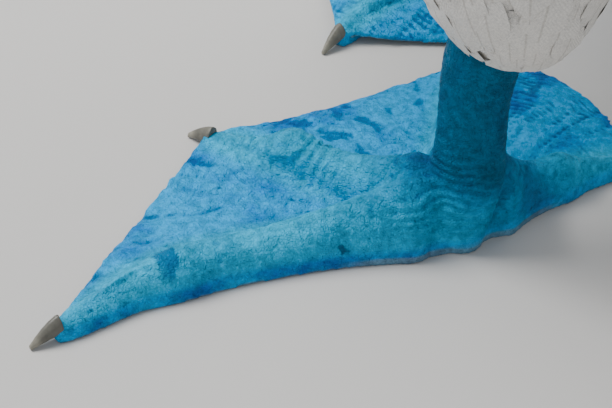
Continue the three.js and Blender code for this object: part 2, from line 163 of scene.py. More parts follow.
def spline(rows, t):
    """A smooth line through the rows, with t from 0 at the first to 1 at the last."""
    rows = np.asarray(rows, float)
    last = len(rows) - 1
    x = np.clip(np.asarray(t, float), 0, 1) * last
    i = np.minimum(x.astype(int), last - 1)
    f = (x - i)[..., None]
    p = np.vstack([2 * rows[0] - rows[1], rows, 2 * rows[-1] - rows[-2]])
    a, b, c, d = p[i], p[i + 1], p[i + 2], p[i + 3]
    f2, f3 = f * f, f * f * f
    ends = (2 * f3 - 3 * f2 + 1) * b + (3 * f2 - 2 * f3) * c
    leans = (f3 - 2 * f2 + f) * (c - a) / 2 + (f3 - f2) * (d - b) / 2
    return ends + leans


def smooth(low, high, x):
    t = np.clip((x - low) / (high - low), 0, 1)
    return t * t * (3 - 2 * t)


def bump(x, middle, width):
    return np.exp(-((x - middle) / width) ** 2)


def mix(a, b, t):
    return a + (b - a) * t


def lattice(x, y, z, seed):
    """Smooth noise between -1 and 1 at any points, repeatable from its seed."""
    def corner(i, j, k):
        n = (i * 374761393 + j * 668265263 + k * 2147483647 + seed * 1274126177) & 0xFFFFFFFF
        n = ((n ^ (n >> 13)) * 1103515245) & 0xFFFFFFFF
        return ((n ^ (n >> 16)) & 0xFFFF) / 32767.5 - 1
    x, y, z = np.broadcast_arrays(*(np.asarray(v, float) for v in (x, y, z)))
    i, j, k = (np.floor(v).astype(np.int64) for v in (x, y, z))
    u, v, w = ((a - b) for a, b in ((x, i), (y, j), (z, k)))
    u, v, w = (a * a * (3 - 2 * a) for a in (u, v, w))
    total = 0
    for di, wu in ((0, 1 - u), (1, u)):
        for dj, wv in ((0, 1 - v), (1, v)):
            for dk, ww in ((0, 1 - w), (1, w)):
                total = total + wu * wv * ww * corner(i + di, j + dj, k + dk)
    return total


def unit(v):
    return v / np.maximum(np.linalg.norm(v, axis=-1, keepdims=True), 1e-9)


# The body's surface

def ring_at(station):
    rows = spline(OUTLINE, np.asarray(station, float) / BILL_BASE)
    back = np.stack([rows[..., 0], 0 * rows[..., 0], rows[..., 1]], -1)
    belly = np.stack([rows[..., 2], 0 * rows[..., 0], rows[..., 3]], -1)
    up = back - belly
    half = np.linalg.norm(up, axis=-1) / 2
    return (back + belly) / 2, unit(up), half, rows[..., 4]


def on_body(station, angle, lift=0.0):
    """A point of the body's surface: the angle is in degrees from the middle of the back."""
    station, angle, lift = np.broadcast_arrays(*(np.asarray(v, float) for v in (station, angle, lift)))
    centre, up, half, width = ring_at(station)
    a = np.radians(angle)
    side = np.stack([0 * a, (width + lift) * np.sin(a), 0 * a], -1)
    return centre + up * ((half + lift) * np.cos(a))[..., None] + side


def wing_edges(share):
    """Degrees from the middle of the back to the folded wing's upper and lower edge."""
    return np.interp(share, *UPPER_EDGE.T), np.interp(share, *LOWER_EDGE.T)


def on_wing(share, height, lift):
    """A point over the folded wing: height is 0 at its lower edge and 1 at its upper."""
    share, height, lift = np.broadcast_arrays(*(np.asarray(v, float) for v in (share, height, lift)))
    high, low = wing_edges(share)
    return on_body(mix(WRIST, WING_TIP, share), mix(low, high, height), WING_LIFT + lift)


# Meshes

def world(points):
    """Millimetres of the bird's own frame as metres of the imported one."""
    return np.asarray(points, float) * MILLIMETRE + SHIFT


def grid_faces(rows, cols, around=False):
    """Quads of a grid of points. Around joins the last column to the first."""
    i, j = np.meshgrid(np.arange(rows - 1), np.arange(cols if around else cols - 1), indexing="ij")
    k = (j + 1) % cols
    corners = (i * cols + j, i * cols + k, (i + 1) * cols + k, (i + 1) * cols + j)
    return np.stack(corners, -1).reshape(-1, 4)


RIM_ANGLE = 0.8


def plain_mesh(name, points, faces, crisp=False):
    """A mesh whose closed parts all face outwards. A crisp one keeps its rims sharp."""
    mesh = bpy.data.meshes.new(name)
    mesh.from_pydata(np.asarray(points).tolist(), [], [list(f) for f in faces])
    shape = bmesh.new()
    shape.from_mesh(mesh)
    bmesh.ops.recalc_face_normals(shape, faces=shape.faces)
    if crisp:
        for edge in shape.edges:
            edge.smooth = edge.calc_face_angle(0.0) < RIM_ANGLE
    shape.to_mesh(mesh)
    shape.free()
    mesh.polygons.foreach_set("use_smooth", np.ones(len(mesh.polygons), bool))
    return mesh


def add_values(mesh, name, numbers):
    """One named number on each point."""
    layer = mesh.attributes.new(name, "FLOAT", "POINT")
    layer.data.foreach_set("value", np.asarray(numbers, np.float32).ravel())


def add_map(mesh, name, spots):
    """A UV map in which every corner takes its point's spot."""
    corners = np.empty(len(mesh.loops), np.int32)
    mesh.loops.foreach_get("vertex_index", corners)
    layer = mesh.uv_layers.new(name=name)
    layer.data.foreach_set("uv", np.asarray(spots, np.float32)[corners].ravel())


def add_object(name, mesh):
    made = bpy.data.objects.new(name, mesh)
    bpy.context.collection.objects.link(made)
    return made


def add_mesh(name, points, faces, material, values=None, maps=None, crisp=False):
    """A mesh object from points in millimetres, with named values on its points and UV maps."""
    mesh = plain_mesh(name, world(points), faces, crisp)
    for key, numbers in (values or {}).items():
        add_values(mesh, key, numbers)
    for key, spots in (maps or {}).items():
        add_map(mesh, key, spots)
    mesh.materials.append(material)
    return add_object(name, mesh)


def finished(piece, slot, *nodes):
    """Attaches the piece to the root body and hides the solids that it stands for. The slot, the piece's
    finish, is not used.
    """
    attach(piece, "root")
    if nodes:
        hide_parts(*nodes)


# Materials

class Nodes:
    """A node tree with a short call for each kind of node."""

    def __init__(self, tree):
        self.tree = tree

    def node(self, kind, **settings):
        made = self.tree.nodes.new(kind)
        for key, value in settings.items():
            setattr(made, key, value)
        return made

    def wire(self, value, socket):
        if isinstance(value, bpy.types.NodeSocket):
            self.tree.links.new(value, socket)
        else:
            socket.default_value = value

    def value(self, name):
        return self.node("ShaderNodeAttribute", attribute_name=name).outputs["Fac"]

    def place(self):
        return self.node("ShaderNodeTexCoord").outputs["Object"]

    def stretched(self, vector, scale):
        made = self.node("ShaderNodeMapping")
        self.wire(vector, made.inputs["Vector"])
        made.inputs["Scale"].default_value = scale
        return made.outputs["Vector"]

    def noise(self, scale, detail=4.0, vector=None, rough=0.55):
        made = self.node("ShaderNodeTexNoise")
        self.wire(vector or self.place(), made.inputs["Vector"])
        for key, value in (("Scale", scale), ("Detail", detail), ("Roughness", rough)):
            self.wire(value, made.inputs[key])
        return made.outputs["Fac"]

    def cells(self, scale, feature="F1"):
        made = self.node("ShaderNodeTexVoronoi", feature=feature)
        self.wire(self.place(), made.inputs["Vector"])
        made.inputs["Scale"].default_value = scale
        return made.outputs["Distance"]

    def math(self, operation, a, b=0.0, clamp=False):
        made = self.node("ShaderNodeMath", operation=operation, use_clamp=clamp)
        self.wire(a, made.inputs[0])
        self.wire(b, made.inputs[1])
        return made.outputs[0]

    def ramp(self, value, low, high, to_low=0.0, to_high=1.0):
        made = self.node("ShaderNodeMapRange", interpolation_type="SMOOTHSTEP")
        self.wire(value, made.inputs["Value"])
        for key, limit in (("From Min", low), ("From Max", high), ("To Min", to_low), ("To Max", to_high)):
            self.wire(limit, made.inputs[key])
        return made.outputs["Result"]

    def blend(self, share, first, second, kind="MIX"):
        made = self.node("ShaderNodeMix", data_type="RGBA", blend_type=kind)
        self.wire(share, made.inputs["Factor"])
        for socket, colour in ((made.inputs["A"], first), (made.inputs["B"], second)):
            self.wire((*colour, 1.0) if isinstance(colour, tuple) else colour, socket)
        return made.outputs["Result"]

    def effect(self, group, **values):
        """Places a shared effect with this material's own values."""
        made = self.node("ShaderNodeGroup")
        made.node_tree = group
        for key, value in values.items():
            made.inputs[key].default_value = (*value, 1.0) if isinstance(value, tuple) else value
        return made.outputs

    def mottle(self, scale, low, high, to_low=0.0, to_high=1.0, detail=4.0, grain=0.55):
        values = {"Scale": scale, "Detail": detail, "Grain": grain}
        values.update({"From": low, "To": high, "Low": to_low, "High": to_high})
        return self.effect(mottle_effect(), **values)["Value"]


class Effect(Nodes):
    """A shader node group with named inputs and outputs."""

    def __init__(self, name, inputs, outputs):
        super().__init__(bpy.data.node_groups.new(name, "ShaderNodeTree"))
        for way, sockets in (("INPUT", inputs), ("OUTPUT", outputs)):
            for label, kind in sockets.items():
                self.tree.interface.new_socket(label, in_out=way, socket_type="NodeSocket" + kind)
        self.given = self.node("NodeGroupInput").outputs
        self.result = self.node("NodeGroupOutput").inputs


def mottle_effect():
    """Clouds of noise, with the range that they fade over and the two values they fade between."""
    if "Mottle" in bpy.data.node_groups:
        return bpy.data.node_groups["Mottle"]
    names = ("Scale", "Detail", "Grain", "From", "To", "Low", "High")
    e = Effect("Mottle", {name: "Float" for name in names}, {"Value": "Float"})
    cloud = e.noise(e.given["Scale"], e.given["Detail"], rough=e.given["Grain"])
    e.wire(e.ramp(cloud, *(e.given[name] for name in names[3:])), e.result["Value"])
    return e.tree


def vane_effect():
    """A feather's web: dark, edge and fringe come from the feather, barbs and shaft from its own map.

    With Streak at 1 the dark part runs along the shaft and the sides are pale.
    """
    if "Vane" in bpy.data.node_groups:
        return bpy.data.node_groups["Vane"]
    colours = {name: "Color" for name in ("Web", "Edge", "Dark")}
    sizes = {name: "Float" for name in ("Barbs", "Streak")}
    e = Effect("Vane", {**colours, **sizes}, {"Colour": "Color", "Barb height": "Float"})
    vane = e.node("ShaderNodeUVMap", uv_map="vane").outputs["UV"]
    parts = e.node("ShaderNodeSeparateXYZ")
    e.wire(vane, parts.inputs[0])
    across = e.math("ABSOLUTE", e.math("SUBTRACT", parts.outputs["X"], 0.5))
    slant = e.math("SUBTRACT", parts.outputs["Y"], e.math("MULTIPLY", across, 0.9))
    side = e.math("SUBTRACT", e.ramp(across, 0.10, 0.36, 1.25, 0.15), 1.0)
    pull = e.math("ADD", e.math("MULTIPLY", e.given["Streak"], side), 1.0)
    tone = e.blend(e.math("MULTIPLY", e.value("dark"), pull, clamp=True), e.given["Web"], e.given["Dark"])
    tone = e.blend(e.math("MULTIPLY", e.value("edge"), e.value("fringe")), tone, e.given["Edge"])
    tone = e.blend(1.0, tone, e.mottle(2600, 0.3, 0.7, 0.86, 1.08, detail=3), "MULTIPLY")
    shaft = e.ramp(across, 0.012, 0.035, 0.5, 0.0)
    e.wire(e.blend(shaft, tone, (0.6, 0.58, 0.55), "MULTIPLY"), e.result["Colour"])
    e.wire(e.math("SINE", e.math("MULTIPLY", slant, e.given["Barbs"])), e.result["Barb height"])
    return e.tree


class Shader(Nodes):
    """A material around one surface shader."""

    def __init__(self, name, roughness, specular=0.5):
        self.material = bpy.data.materials.new(name)
        self.material.use_nodes = True
        super().__init__(self.material.node_tree)
        self.surface = self.tree.nodes["Principled BSDF"]
        self.surface.inputs["Roughness"].default_value = roughness
        self.surface.inputs["Specular IOR Level"].default_value = specular

    def colour(self, value):
        self.wire(value, self.surface.inputs["Base Color"])

    def roughness(self, value):
        self.wire(value, self.surface.inputs["Roughness"])

    def relief(self, height, distance, strength):
        """Fine relief as a bump, laid over the bumps that are there already."""
        made = self.node("ShaderNodeBump")
        made.inputs["Distance"].default_value = distance
        made.inputs["Strength"].default_value = strength
        self.wire(height, made.inputs["Height"])
        before = self.surface.inputs["Normal"]
        if before.is_linked:
            self.tree.links.new(before.links[0].from_socket, made.inputs["Normal"])
        self.tree.links.new(made.outputs["Normal"], before)


FOOT_BLUE = (0.0, 0.380, 0.780)
FOOT_DEEP = (0.0, 0.140, 0.480)
FOOT_TEAL = (0.0, 0.280, 0.480)
# Painted shade: a dark teal laid over the leg and the hind toe's root, where the body's shade falls
FOOT_SHADE = (0.0, 0.080, 0.145)
FOOT_PALE = (0.010, 0.560, 0.800)
FOOT_GREY = (0.170, 0.270, 0.310)


def foot_material(blue):
    """Blue webs, pale turquoise toes, teal joints, fine scales, and painted shade on the leg, at the hind
    toe's root and in the sunken creases.
    """
    s = Shader("foot_skin_blue", 0.55, 0.08)
    s.surface.inputs["Subsurface Weight"].default_value = 0.08
    s.surface.inputs["Subsurface Radius"].default_value = (0.0008, 0.0014, 0.0022)
    s.surface.inputs["Subsurface Scale"].default_value = 1.0
    tone = s.blend(s.mottle(75, 0.44, 0.68, detail=6, grain=0.62), blue, FOOT_DEEP)
    tone = s.blend(s.ramp(s.value("ridge"), 0.1, 1.0, 0.0, 0.62), tone, FOOT_PALE)
    clouds = s.mottle(150, 0.45, 0.62, detail=5, grain=0.65)
    green = s.math("MULTIPLY", clouds, s.ramp(s.value("ridge"), 0.1, 0.8))
    tone = s.blend(s.math("MULTIPLY", green, 0.55), tone, FOOT_TEAL)
    tone = s.blend(s.ramp(s.value("joint"), 0.1, 1.0, 0.0, 0.75), tone, FOOT_TEAL)
    # Painted shade: the leg and the hind toe's root darkened towards FOOT_SHADE, standing in for the body's
    # shade
    tone = s.blend(s.ramp(s.value("shin"), 0.0, 1.0, 0.0, 0.85), tone, FOOT_SHADE)
    tone = s.blend(s.ramp(s.value("sole"), 0.3, 1.0, 0.0, 0.75), tone, FOOT_GREY)
    tone = s.blend(1.0, tone, s.mottle(480, 0.33, 0.68, 0.72, 1.20, detail=6, grain=0.7), "MULTIPLY")
    # Painted shade: the sunken creases and the outer toe's dimple darkened, standing in for the shade in them
    tone = s.blend(s.ramp(s.value("crease"), 0.0, 1.0, 0.0, 0.7), tone, (0.0, 0.060, 0.220))
    s.colour(s.blend(s.mottle(190, 0.70, 0.76, 0.0, 0.75, detail=2), tone, (0.004, 0.035, 0.10)))
    scales = s.ramp(s.cells(1500, "DISTANCE_TO_EDGE"), 0.0, 0.18)
    s.roughness(s.mottle(300, 0.3, 0.7, 0.40, 0.60))
    s.relief(scales, 0.00016, 0.8)
    s.relief(s.noise(800, 5, rough=0.65), 0.00030, 0.7)
    fold = s.math("ABSOLUTE", s.math("SUBTRACT", s.noise(330, 3), 0.5))
    s.relief(s.ramp(fold, 0.0, 0.07), 0.00022, 0.7)
    return s.material


def feather_material(name, web, edge, dark, barbs, streak=0.0):
    s = Shader(name, 0.62, 0.28)
    s.surface.inputs["Sheen Weight"].default_value = 0.18
    s.surface.inputs["Sheen Roughness"].default_value = 0.5
    vane = s.effect(vane_effect(), Web=web, Edge=edge, Dark=dark, Barbs=barbs, Streak=streak)
    s.colour(vane["Colour"])
    s.relief(vane["Barb height"], 0.00005, 0.55)
    return s.material


def horn_material(name, base, deep, rough, pale):
    s = Shader(name, rough, 0.5)
    tone = s.blend(s.mottle(120, 0.35, 0.68, detail=5), base, deep)
    tone = s.blend(s.ramp(s.value("tip"), 0.2, 1.0, 0.0, 0.8), tone, pale)
    s.colour(s.blend(1.0, tone, s.mottle(900, 0.3, 0.7, 0.85, 1.1, detail=5), "MULTIPLY"))
    s.roughness(s.mottle(500, 0.3, 0.7, rough - 0.08, rough + 0.12))
    along = s.stretched(s.place(), (1.0, 9.0, 9.0))
    s.relief(s.noise(160, 5, along, 0.6), 0.00018, 0.5)
    return s.material


# Skin: the body, the thighs and the tail's root in one surface

COAT_STATIONS = [3, 8, 13, 16, 18, 19.4, 21]
COAT_DEPTHS = [2.5, 4, 3.2, 2.0, 1.4, 0.5, 0.2]
THIGH_COAT_DEPTH = 1.6
THIGH_HEIGHT = 82
TAIL_ROOT_LENGTH = 74
TAIL_COAT_DEPTH = 1.4
FACE_BEHIND = 72
FACE_BELOW = 440


def closed_loft(rings):
    """Rings of points as one closed skin with a point at each end."""
    rows, cols = rings.shape[:2]
    points = np.vstack([rings.reshape(-1, 3), rings[0].mean(axis=0), rings[-1].mean(axis=0)])
    faces = [list(f) for f in grid_faces(rows, cols, around=True)]
    for j in range(cols):
        k = (j + 1) % cols
        faces.append([rows * cols, k, j])
        faces.append([rows * cols + 1, (rows - 1) * cols + j, (rows - 1) * cols + k])
    return points, faces


def joined(parts):
    """Several closed pieces as one list of points and one of faces."""
    points, faces, start = [], [], 0
    for more, quads in parts:
        points.append(more)
        faces += [[start + k for k in f] for f in quads]
        start += len(more)
    return np.vstack(points), faces


def thigh_point(side, t, angle, grow=0.0):
    """A point of a thigh: t runs down it, and the angle in radians around it."""
    t, angle, grow = np.broadcast_arrays(*(np.asarray(v, float) for v in (t, angle, grow)))
    rows = spline(THIGH, t)
    ankle = ANKLES[side]
    x = ankle[0] + rows[..., 1] + (rows[..., 3] + grow) * np.cos(angle)
    y = ankle[1] + side * (rows[..., 2] + (rows[..., 4] + grow) * np.sin(angle))
    return np.stack([x, y, rows[..., 0]], -1)


def tail_place(along, across, lift):
    """A point of the tail from its root, along it, across it and over it."""
    along, across, lift = np.broadcast_arrays(*(np.asarray(v, float) for v in (along, across, lift)))
    back = np.array([-math.cos(TAIL_PITCH), 0, math.sin(TAIL_PITCH)])
    up = np.array([math.sin(TAIL_PITCH), 0, math.cos(TAIL_PITCH)])
    side = np.array([0, 1.0, 0])
    return TAIL_ROOT_AT + along[..., None] * back + across[..., None] * side + lift[..., None] * up


def tail_root_ring(t, angle, grow=0.0):
    """The tail's fleshy root and coverts, from the body's last ring to a flat end."""
    t, angle, grow = np.broadcast_arrays(*(np.asarray(v, float) for v in (t, angle, grow)))
    centre, up, half, width = ring_at(TAIL_ROOT)
    middle = tail_place(4 + TAIL_ROOT_LENGTH * t, 0 * t, 0.5 + 0 * t)
    share = smooth(0, 0.25, t)[..., None]
    rise = np.array([math.sin(TAIL_PITCH), 0, math.cos(TAIL_PITCH)])
    axis = unit(mix(up, rise, share))
    high = mix(half, 2.2, np.clip(t, 0, None) ** 0.8) + grow
    wide = mix(width, 21.0, t) + grow
    spot = mix(centre + 0 * middle, middle, share)
    side = np.stack([0 * t, wide * np.sin(angle), 0 * t], -1)
    return spot + axis * (high * np.cos(angle))[..., None] + side


def remeshed(points, faces, voxel, passes):
    """The outer skin of overlapping closed pieces, as a fresh even mesh: points and faces."""
    mesh = bpy.data.meshes.new("blend")
    mesh.from_pydata((points * MILLIMETRE).tolist(), [], faces)
    blank = add_object("blend", mesh)
    made = blank.modifiers.new("Skin", "REMESH")
    made.mode = "VOXEL"
    made.voxel_size = voxel
    rounding = blank.modifiers.new("Round", "SMOOTH")
    rounding.factor = 0.5
    rounding.iterations = passes
    solid = bpy.data.meshes.new_from_object(blank.evaluated_get(bpy.context.evaluated_depsgraph_get()))
    bpy.data.objects.remove(blank)
    out = np.empty(len(solid.vertices) * 3, np.float32)
    solid.vertices.foreach_get("co", out)
    quads = [list(p.vertices) for p in solid.polygons]
    bpy.data.meshes.remove(solid)
    return out.reshape(-1, 3).astype(float) / MILLIMETRE, quads


def point_normals(points, faces):
    """Normals of an even quad mesh, at its points."""
    quads = np.array([f if len(f) == 4 else [f[0], f[1], f[2], f[2]] for f in faces])
    first, second, third, fourth = (points[quads[:, k]] for k in range(4))
    across = np.cross(third - first, fourth - second)
    total = np.zeros_like(points)
    for k in range(4):
        np.add.at(total, quads[:, k], across)
    return unit(total)


# The line of the mouth: x and z

GAPE = np.array([(84, 463.5), (96, 466.8), (108, 470.4), (122, 472.2)], float)


def gape_distance(x, z):
    """Height over the line of the mouth, and how far inside its two ends a point lies."""
    line = np.interp(x, GAPE[:, 0], GAPE[:, 1])
    return z - line, smooth(GAPE[0, 0] - 1, GAPE[0, 0] + 4, x)


def bareness(x, y, z):
    """1 on the naked skin of the face and throat, 0 where feathers grow."""
    eye = np.hypot(x - EYE_AT[0] + 1, (z - EYE_AT[2]) * 1.1)
    edge = 0.8 * lattice(x * 0.35, y * 0.35, z * 0.35, 5)
    around_eye = smooth(11.5, 9.5, eye + edge)
    lores = smooth(103, 107, x + 0.25 * (z - 474) + edge) * smooth(497, 492, z - 0.15 * np.abs(y))
    brow = EYE_AT[2] + 10 + 0.45 * (x - 93) - 0.2 * np.abs(y)
    bridge = smooth(90, 94, x + edge) * smooth(2, -1, z + edge - brow) * smooth(464, 468, z + edge)
    lores = np.maximum(lores, bridge)
    chin = smooth(90, 96, x + edge) * smooth(470, 466, z + 0.06 * np.abs(y))
    return np.maximum(np.maximum(around_eye, lores), chin)


def head_relief(x, y, z):
    """How far the face's skin stands out: brow, socket, cheek, mouth line, wrinkles."""
    dx, dz = x - EYE_AT[0], z - EYE_AT[2]
    eye = np.hypot(dx, dz)
    sides = smooth(4, 12, np.abs(y))
    brow = 1.1 * bump(eye, 10.5, 3.2) * smooth(-2, 7, dz)
    socket = -0.9 * bump(eye, 7.4, 1.9)
    above, inside = gape_distance(x, z)
    lips = 0.5 * bump(above, 1.9, 1.2) + 0.35 * bump(above, -1.9, 1.2)
    mouth = inside * (lips - 1.2 * bump(above, 0, 0.75))
    naked = bareness(x, y, z)
    grain = 0.16 * lattice(x * 1.1, y * 1.1, z * 1.1, 9) + 0.12 * lattice(x * 2.3, y * 2.3, z * 2.3, 10)
    folds = 0.22 * np.sin((x * 0.55 + z * 1.25) * 2.1 + 1.2 * lattice(x * 0.3, y * 0.3, z * 0.3, 12))
    throat = smooth(466, 461, z)
    return sides * (brow + socket + mouth) + naked * (grain + throat * folds)


def build_skin(bird):
    stations = np.concatenate([np.linspace(TAIL_ROOT, 16, 90), np.linspace(16.1, BILL_BASE, 60)])
    angles = np.linspace(0, 360, 96, endpoint=False)
    depth = np.interp(stations, COAT_STATIONS, COAT_DEPTHS) * bird.coat_depth
    body = on_body(stations[:, None], angles[None], -depth[:, None])
    parts = [closed_loft(body)]
    turn = np.linspace(0, 2 * np.pi, 40, endpoint=False)
    for side, _ in SIDES:
        limb = thigh_point(side, np.linspace(0, 1, 24)[:, None], side * turn[None], -THIGH_COAT_DEPTH)
        parts.append(closed_loft(limb))
    tail = tail_root_ring(np.linspace(-0.02, 0.92, 20)[:, None], -turn[None], -TAIL_COAT_DEPTH)
    parts.append(closed_loft(tail))
    points, faces = remeshed(*joined(parts), bird.skin_grain, 6)
    points, faces = finer_head(points, faces)
    x, y, z = points.T
    face = smooth(70, 84, x) * smooth(432, 440, z)
    lift = face * head_relief(x, y, z)
    points = points + point_normals(points, faces) * lift[:, None]
    naked = smooth(0.02, 0.3, bareness(x, y, z)) * face
    values = {"naked": naked, "brown": markings(points)}
    skin = add_mesh("body_skin", points, faces, skin_material(), values)
    finished(skin, "white_plumage", "head", "neck", "torso", "left_thigh", "right_thigh")


def finer_head(points, faces):
    """Splits the face's quads once, so that its folds and mouth line can be drawn."""
    mesh = bmesh.new()
    made = [mesh.verts.new(p) for p in points]
    for f in faces:
        mesh.faces.new([made[k] for k in f])
    mesh.verts.ensure_lookup_table()
    chosen = set()
    for f in mesh.faces:
        corner = f.verts[0].co
        if corner.x > FACE_BEHIND and corner.z > FACE_BELOW:
            chosen.update(f.edges)
    bmesh.ops.subdivide_edges(mesh, edges=list(chosen), cuts=1, use_grid_fill=True)
    mesh.verts.index_update()
    out = np.array([v.co[:] for v in mesh.verts])
    quads = [[v.index for v in f.verts] for f in mesh.faces]
    mesh.free()
    return out, quads


def markings(points):
    """How brown the plumage is at points of the body: brown back and tail, white belly and nape patch."""
    x, y, z = points.T
    grain = lattice(x * 0.09, y * 0.09, z * 0.09, 21)
    fine = lattice(x * 0.3, y * 0.3, z * 0.3, 22)
    head = smooth(420, 446, z + 5 * grain)
    front = smooth(300, 395, z + 12 * grain - 0.5 * (x - 60))
    back_line = smooth(30, 6, x + 0.22 * (z - 300) + 7 * grain)
    axis = np.interp(x, (-160, -110, -60, 0, 40), (92, 108, 124, 158, 215))
    mantle = back_line * smooth(-6, 14, z - axis + 6 * grain)
    rump = smooth(-75, -100, x + 5 * grain) * smooth(-150, -128, x)
    tail = smooth(-150, -166, x + 4 * grain)
    nape = smooth(330, 350, z) * smooth(405, 380, z) * smooth(60, 40, x)
    brown = np.maximum(np.maximum(0.5 * front, 0.6 * head), mantle * (1 - 0.85 * rump))
    brown = np.maximum(brown * (1 - 0.75 * nape), tail)
    return np.clip(brown + 0.12 * fine * (brown > 0.05), 0, 1)


def skin_material():
    s = Shader("face_and_down", 0.6, 0.35)
    white = (0.66, 0.63, 0.58)
    brown = (0.085, 0.058, 0.042)
    tone = s.blend(s.value("brown"), white, brown)
    slate = s.blend(s.mottle(260, 0.3, 0.7, detail=5), (0.030, 0.050, 0.066), (0.075, 0.110, 0.130))
    s.colour(s.blend(s.value("naked"), tone, slate))
    s.relief(s.cells(1500), 0.00012, 0.5)
    s.relief(s.noise(900, 5), 0.00015, 0.5)
    return s.material


# Feathers

def shell(top, low):
    """A closed sheet between its upper and its lower grid of points."""
    rows, cols = top.shape[:2]
    points = np.vstack([top.reshape(-1, 3), low.reshape(-1, 3)])
    upper = grid_faces(rows, cols)
    lower = upper[:, ::-1] + rows * cols
    rim = [i * cols for i in range(rows)] + [(rows - 1) * cols + j for j in range(1, cols)]
    rim += [i * cols + cols - 1 for i in range(rows - 2, -1, -1)] + list(range(cols - 2, 0, -1))
    rim = np.array(rim)
    after = np.roll(rim, -1)
    side = np.stack([rim, rim + rows * cols, after + rows * cols, after], -1)
    return points, np.vstack([upper, lower, side[:, ::-1]])


def feather_outline(t, point, fill):
    """Half width of a vane along its length, as a share of the widest place."""
    root = 0.35 + 0.65 * smooth(0, 0.28, t)
    tip = np.clip((t - fill) / (1 - fill), 0, 1)
    return root * np.sqrt(np.clip(1 - tip ** point, 0, 1)) + 0.02


# Small feathers: length, width, curl and fluff

BODY_FEATHER = (15, 9.5, 0.10, 0.10)
NECK_FEATHER = (13, 3.9, 0.06, 0.16)
HEAD_FEATHER = (8.4, 2.3, 0.05, 0.2)
THIGH_FEATHER = (13.5, 7.6, 0.10, 0.14)
TAIL_COVERT = (24, 11, 0.03, 0.08)
SMALL_COVERT = (18, 9.5, 0.03, 0.06)
SCAPULAR = (27, 12.5, 0.03, 0.08)


def body_feather(name, seed, length, width, curl, fluff):
    """One small feather lying along +X from its root at the origin, in metres."""
    rng = np.random.default_rng(seed)
    rows, cols = 7, 5
    t = np.linspace(0, 1, rows) ** 0.85
    across = np.linspace(-1, 1, cols)
    half = feather_outline(t, 2.2, 0.45) * width / 2
    ragged = 1 - fluff * rng.random((rows, cols)) * (np.abs(across)[None] > 0.6)
    y = across[None] * half[:, None] * ragged
    x = t[:, None] * length * (1 - 0.16 * across[None] ** 2 * t[:, None])
    x = x + fluff * 0.06 * length * rng.normal(size=(rows, cols)) * t[:, None]
    z = length * (0.06 * np.sin(np.pi * t) - curl * t ** 2)[:, None] - 0.11 * np.abs(y) + 0.02 * length
    top = np.stack([x, y, z + 0 * x], -1)
    thick = 0.18 * (1 - np.abs(across))[None] * (1 - 0.8 * t)[:, None] + 0.03
    points, faces = shell(top, top - UP * thick[..., None])
    mesh = plain_mesh(name, points * MILLIMETRE, faces, True)
    add_map(mesh, "vane", vane_map(t, across))
    fringe = np.maximum(smooth(0.72, 1.0, t)[:, None], smooth(0.7, 1.0, np.abs(across))[None] * 0.5)
    add_values(mesh, "fringe", np.tile(fringe.ravel(), 2))
    return bpy.data.objects.new(name, mesh)


def vane_map(t, across):
    """A feather's own map: 0 to 1 across its width and 0 to 1 along it, on both its faces."""
    wide, long = np.meshgrid((across + 1) / 2, t)
    return np.tile(np.stack([wide, long], -1).reshape(-1, 2), (2, 1))


def coat_tree():
    """Geometry Nodes: one of three feathers on every root, turned and sized by the root's own values."""
    tree = bpy.data.node_groups.new("Lay feathers", "GeometryNodeTree")
    kinds = {"Roots": "Geometry", **{f"Feather {k}": "Object" for k in (1, 2, 3)}}
    kinds.update({"Seed": "Int", "Patch": "Float", "Plumage": "Material"})
    for name, kind in kinds.items():
        tree.interface.new_socket(name, in_out="INPUT", socket_type="NodeSocket" + kind)
    tree.interface.new_socket("Coat", in_out="OUTPUT", socket_type="NodeSocketGeometry")
    node, wire = tree.nodes.new, tree.links.new
    given, result = node("NodeGroupInput"), node("NodeGroupOutput")
    gather = node("GeometryNodeJoinGeometry")
    for k in (3, 2, 1):
        info, single = node("GeometryNodeObjectInfo"), node("GeometryNodeGeometryToInstance")
        wire(given.outputs[f"Feather {k}"], info.inputs["Object"])
        wire(info.outputs["Geometry"], single.inputs["Geometry"])
        wire(single.outputs["Instances"], gather.inputs["Geometry"])

    def named(name):
        made = node("GeometryNodeInputNamedAttribute")
        made.data_type = "FLOAT_VECTOR"
        made.inputs["Name"].default_value = name
        return made.outputs["Attribute"]

    pick = node("FunctionNodeRandomValue")
    pick.data_type = "INT"
    lowest, highest = 4, 5
    pick.inputs[lowest].default_value = 0
    pick.inputs[highest].default_value = 2
    wire(given.outputs["Seed"], pick.inputs["Seed"])
    lay = node("GeometryNodeInstanceOnPoints")
    lay.inputs["Pick Instance"].default_value = True
    wire(given.outputs["Roots"], lay.inputs["Points"])
    wire(gather.outputs["Geometry"], lay.inputs["Instance"])
    wire(pick.outputs[2], lay.inputs["Instance Index"])
    wire(named("turn"), lay.inputs["Rotation"])
    wire(named("size"), lay.inputs["Scale"])
    real = node("GeometryNodeRealizeInstances")
    wire(lay.outputs["Instances"], real.inputs["Geometry"])
    offset, scaled, total = (node("ShaderNodeVectorMath") for _ in range(3))
    offset.operation, scaled.operation, total.operation = "SUBTRACT", "SCALE", "ADD"
    wire(named("vane"), offset.inputs[0])
    offset.inputs[1].default_value = (0.5, 0.5, 0)
    wire(offset.outputs[0], scaled.inputs[0])
    wire(given.outputs["Patch"], scaled.inputs["Scale"])
    wire(scaled.outputs[0], total.inputs[0])
    wire(named("root_place"), total.inputs[1])
    keep = node("GeometryNodeStoreNamedAttribute")
    keep.data_type, keep.domain = "FLOAT2", "CORNER"
    keep.inputs["Name"].default_value = "OFBake"
    wire(real.outputs["Geometry"], keep.inputs["Geometry"])
    wire(total.outputs[0], keep.inputs["Value"])
    paint = node("GeometryNodeSetMaterial")
    wire(keep.outputs["Geometry"], paint.inputs["Geometry"])
    wire(given.outputs["Plumage"], paint.inputs["Material"])
    wire(paint.outputs["Geometry"], result.inputs["Coat"])
    return tree


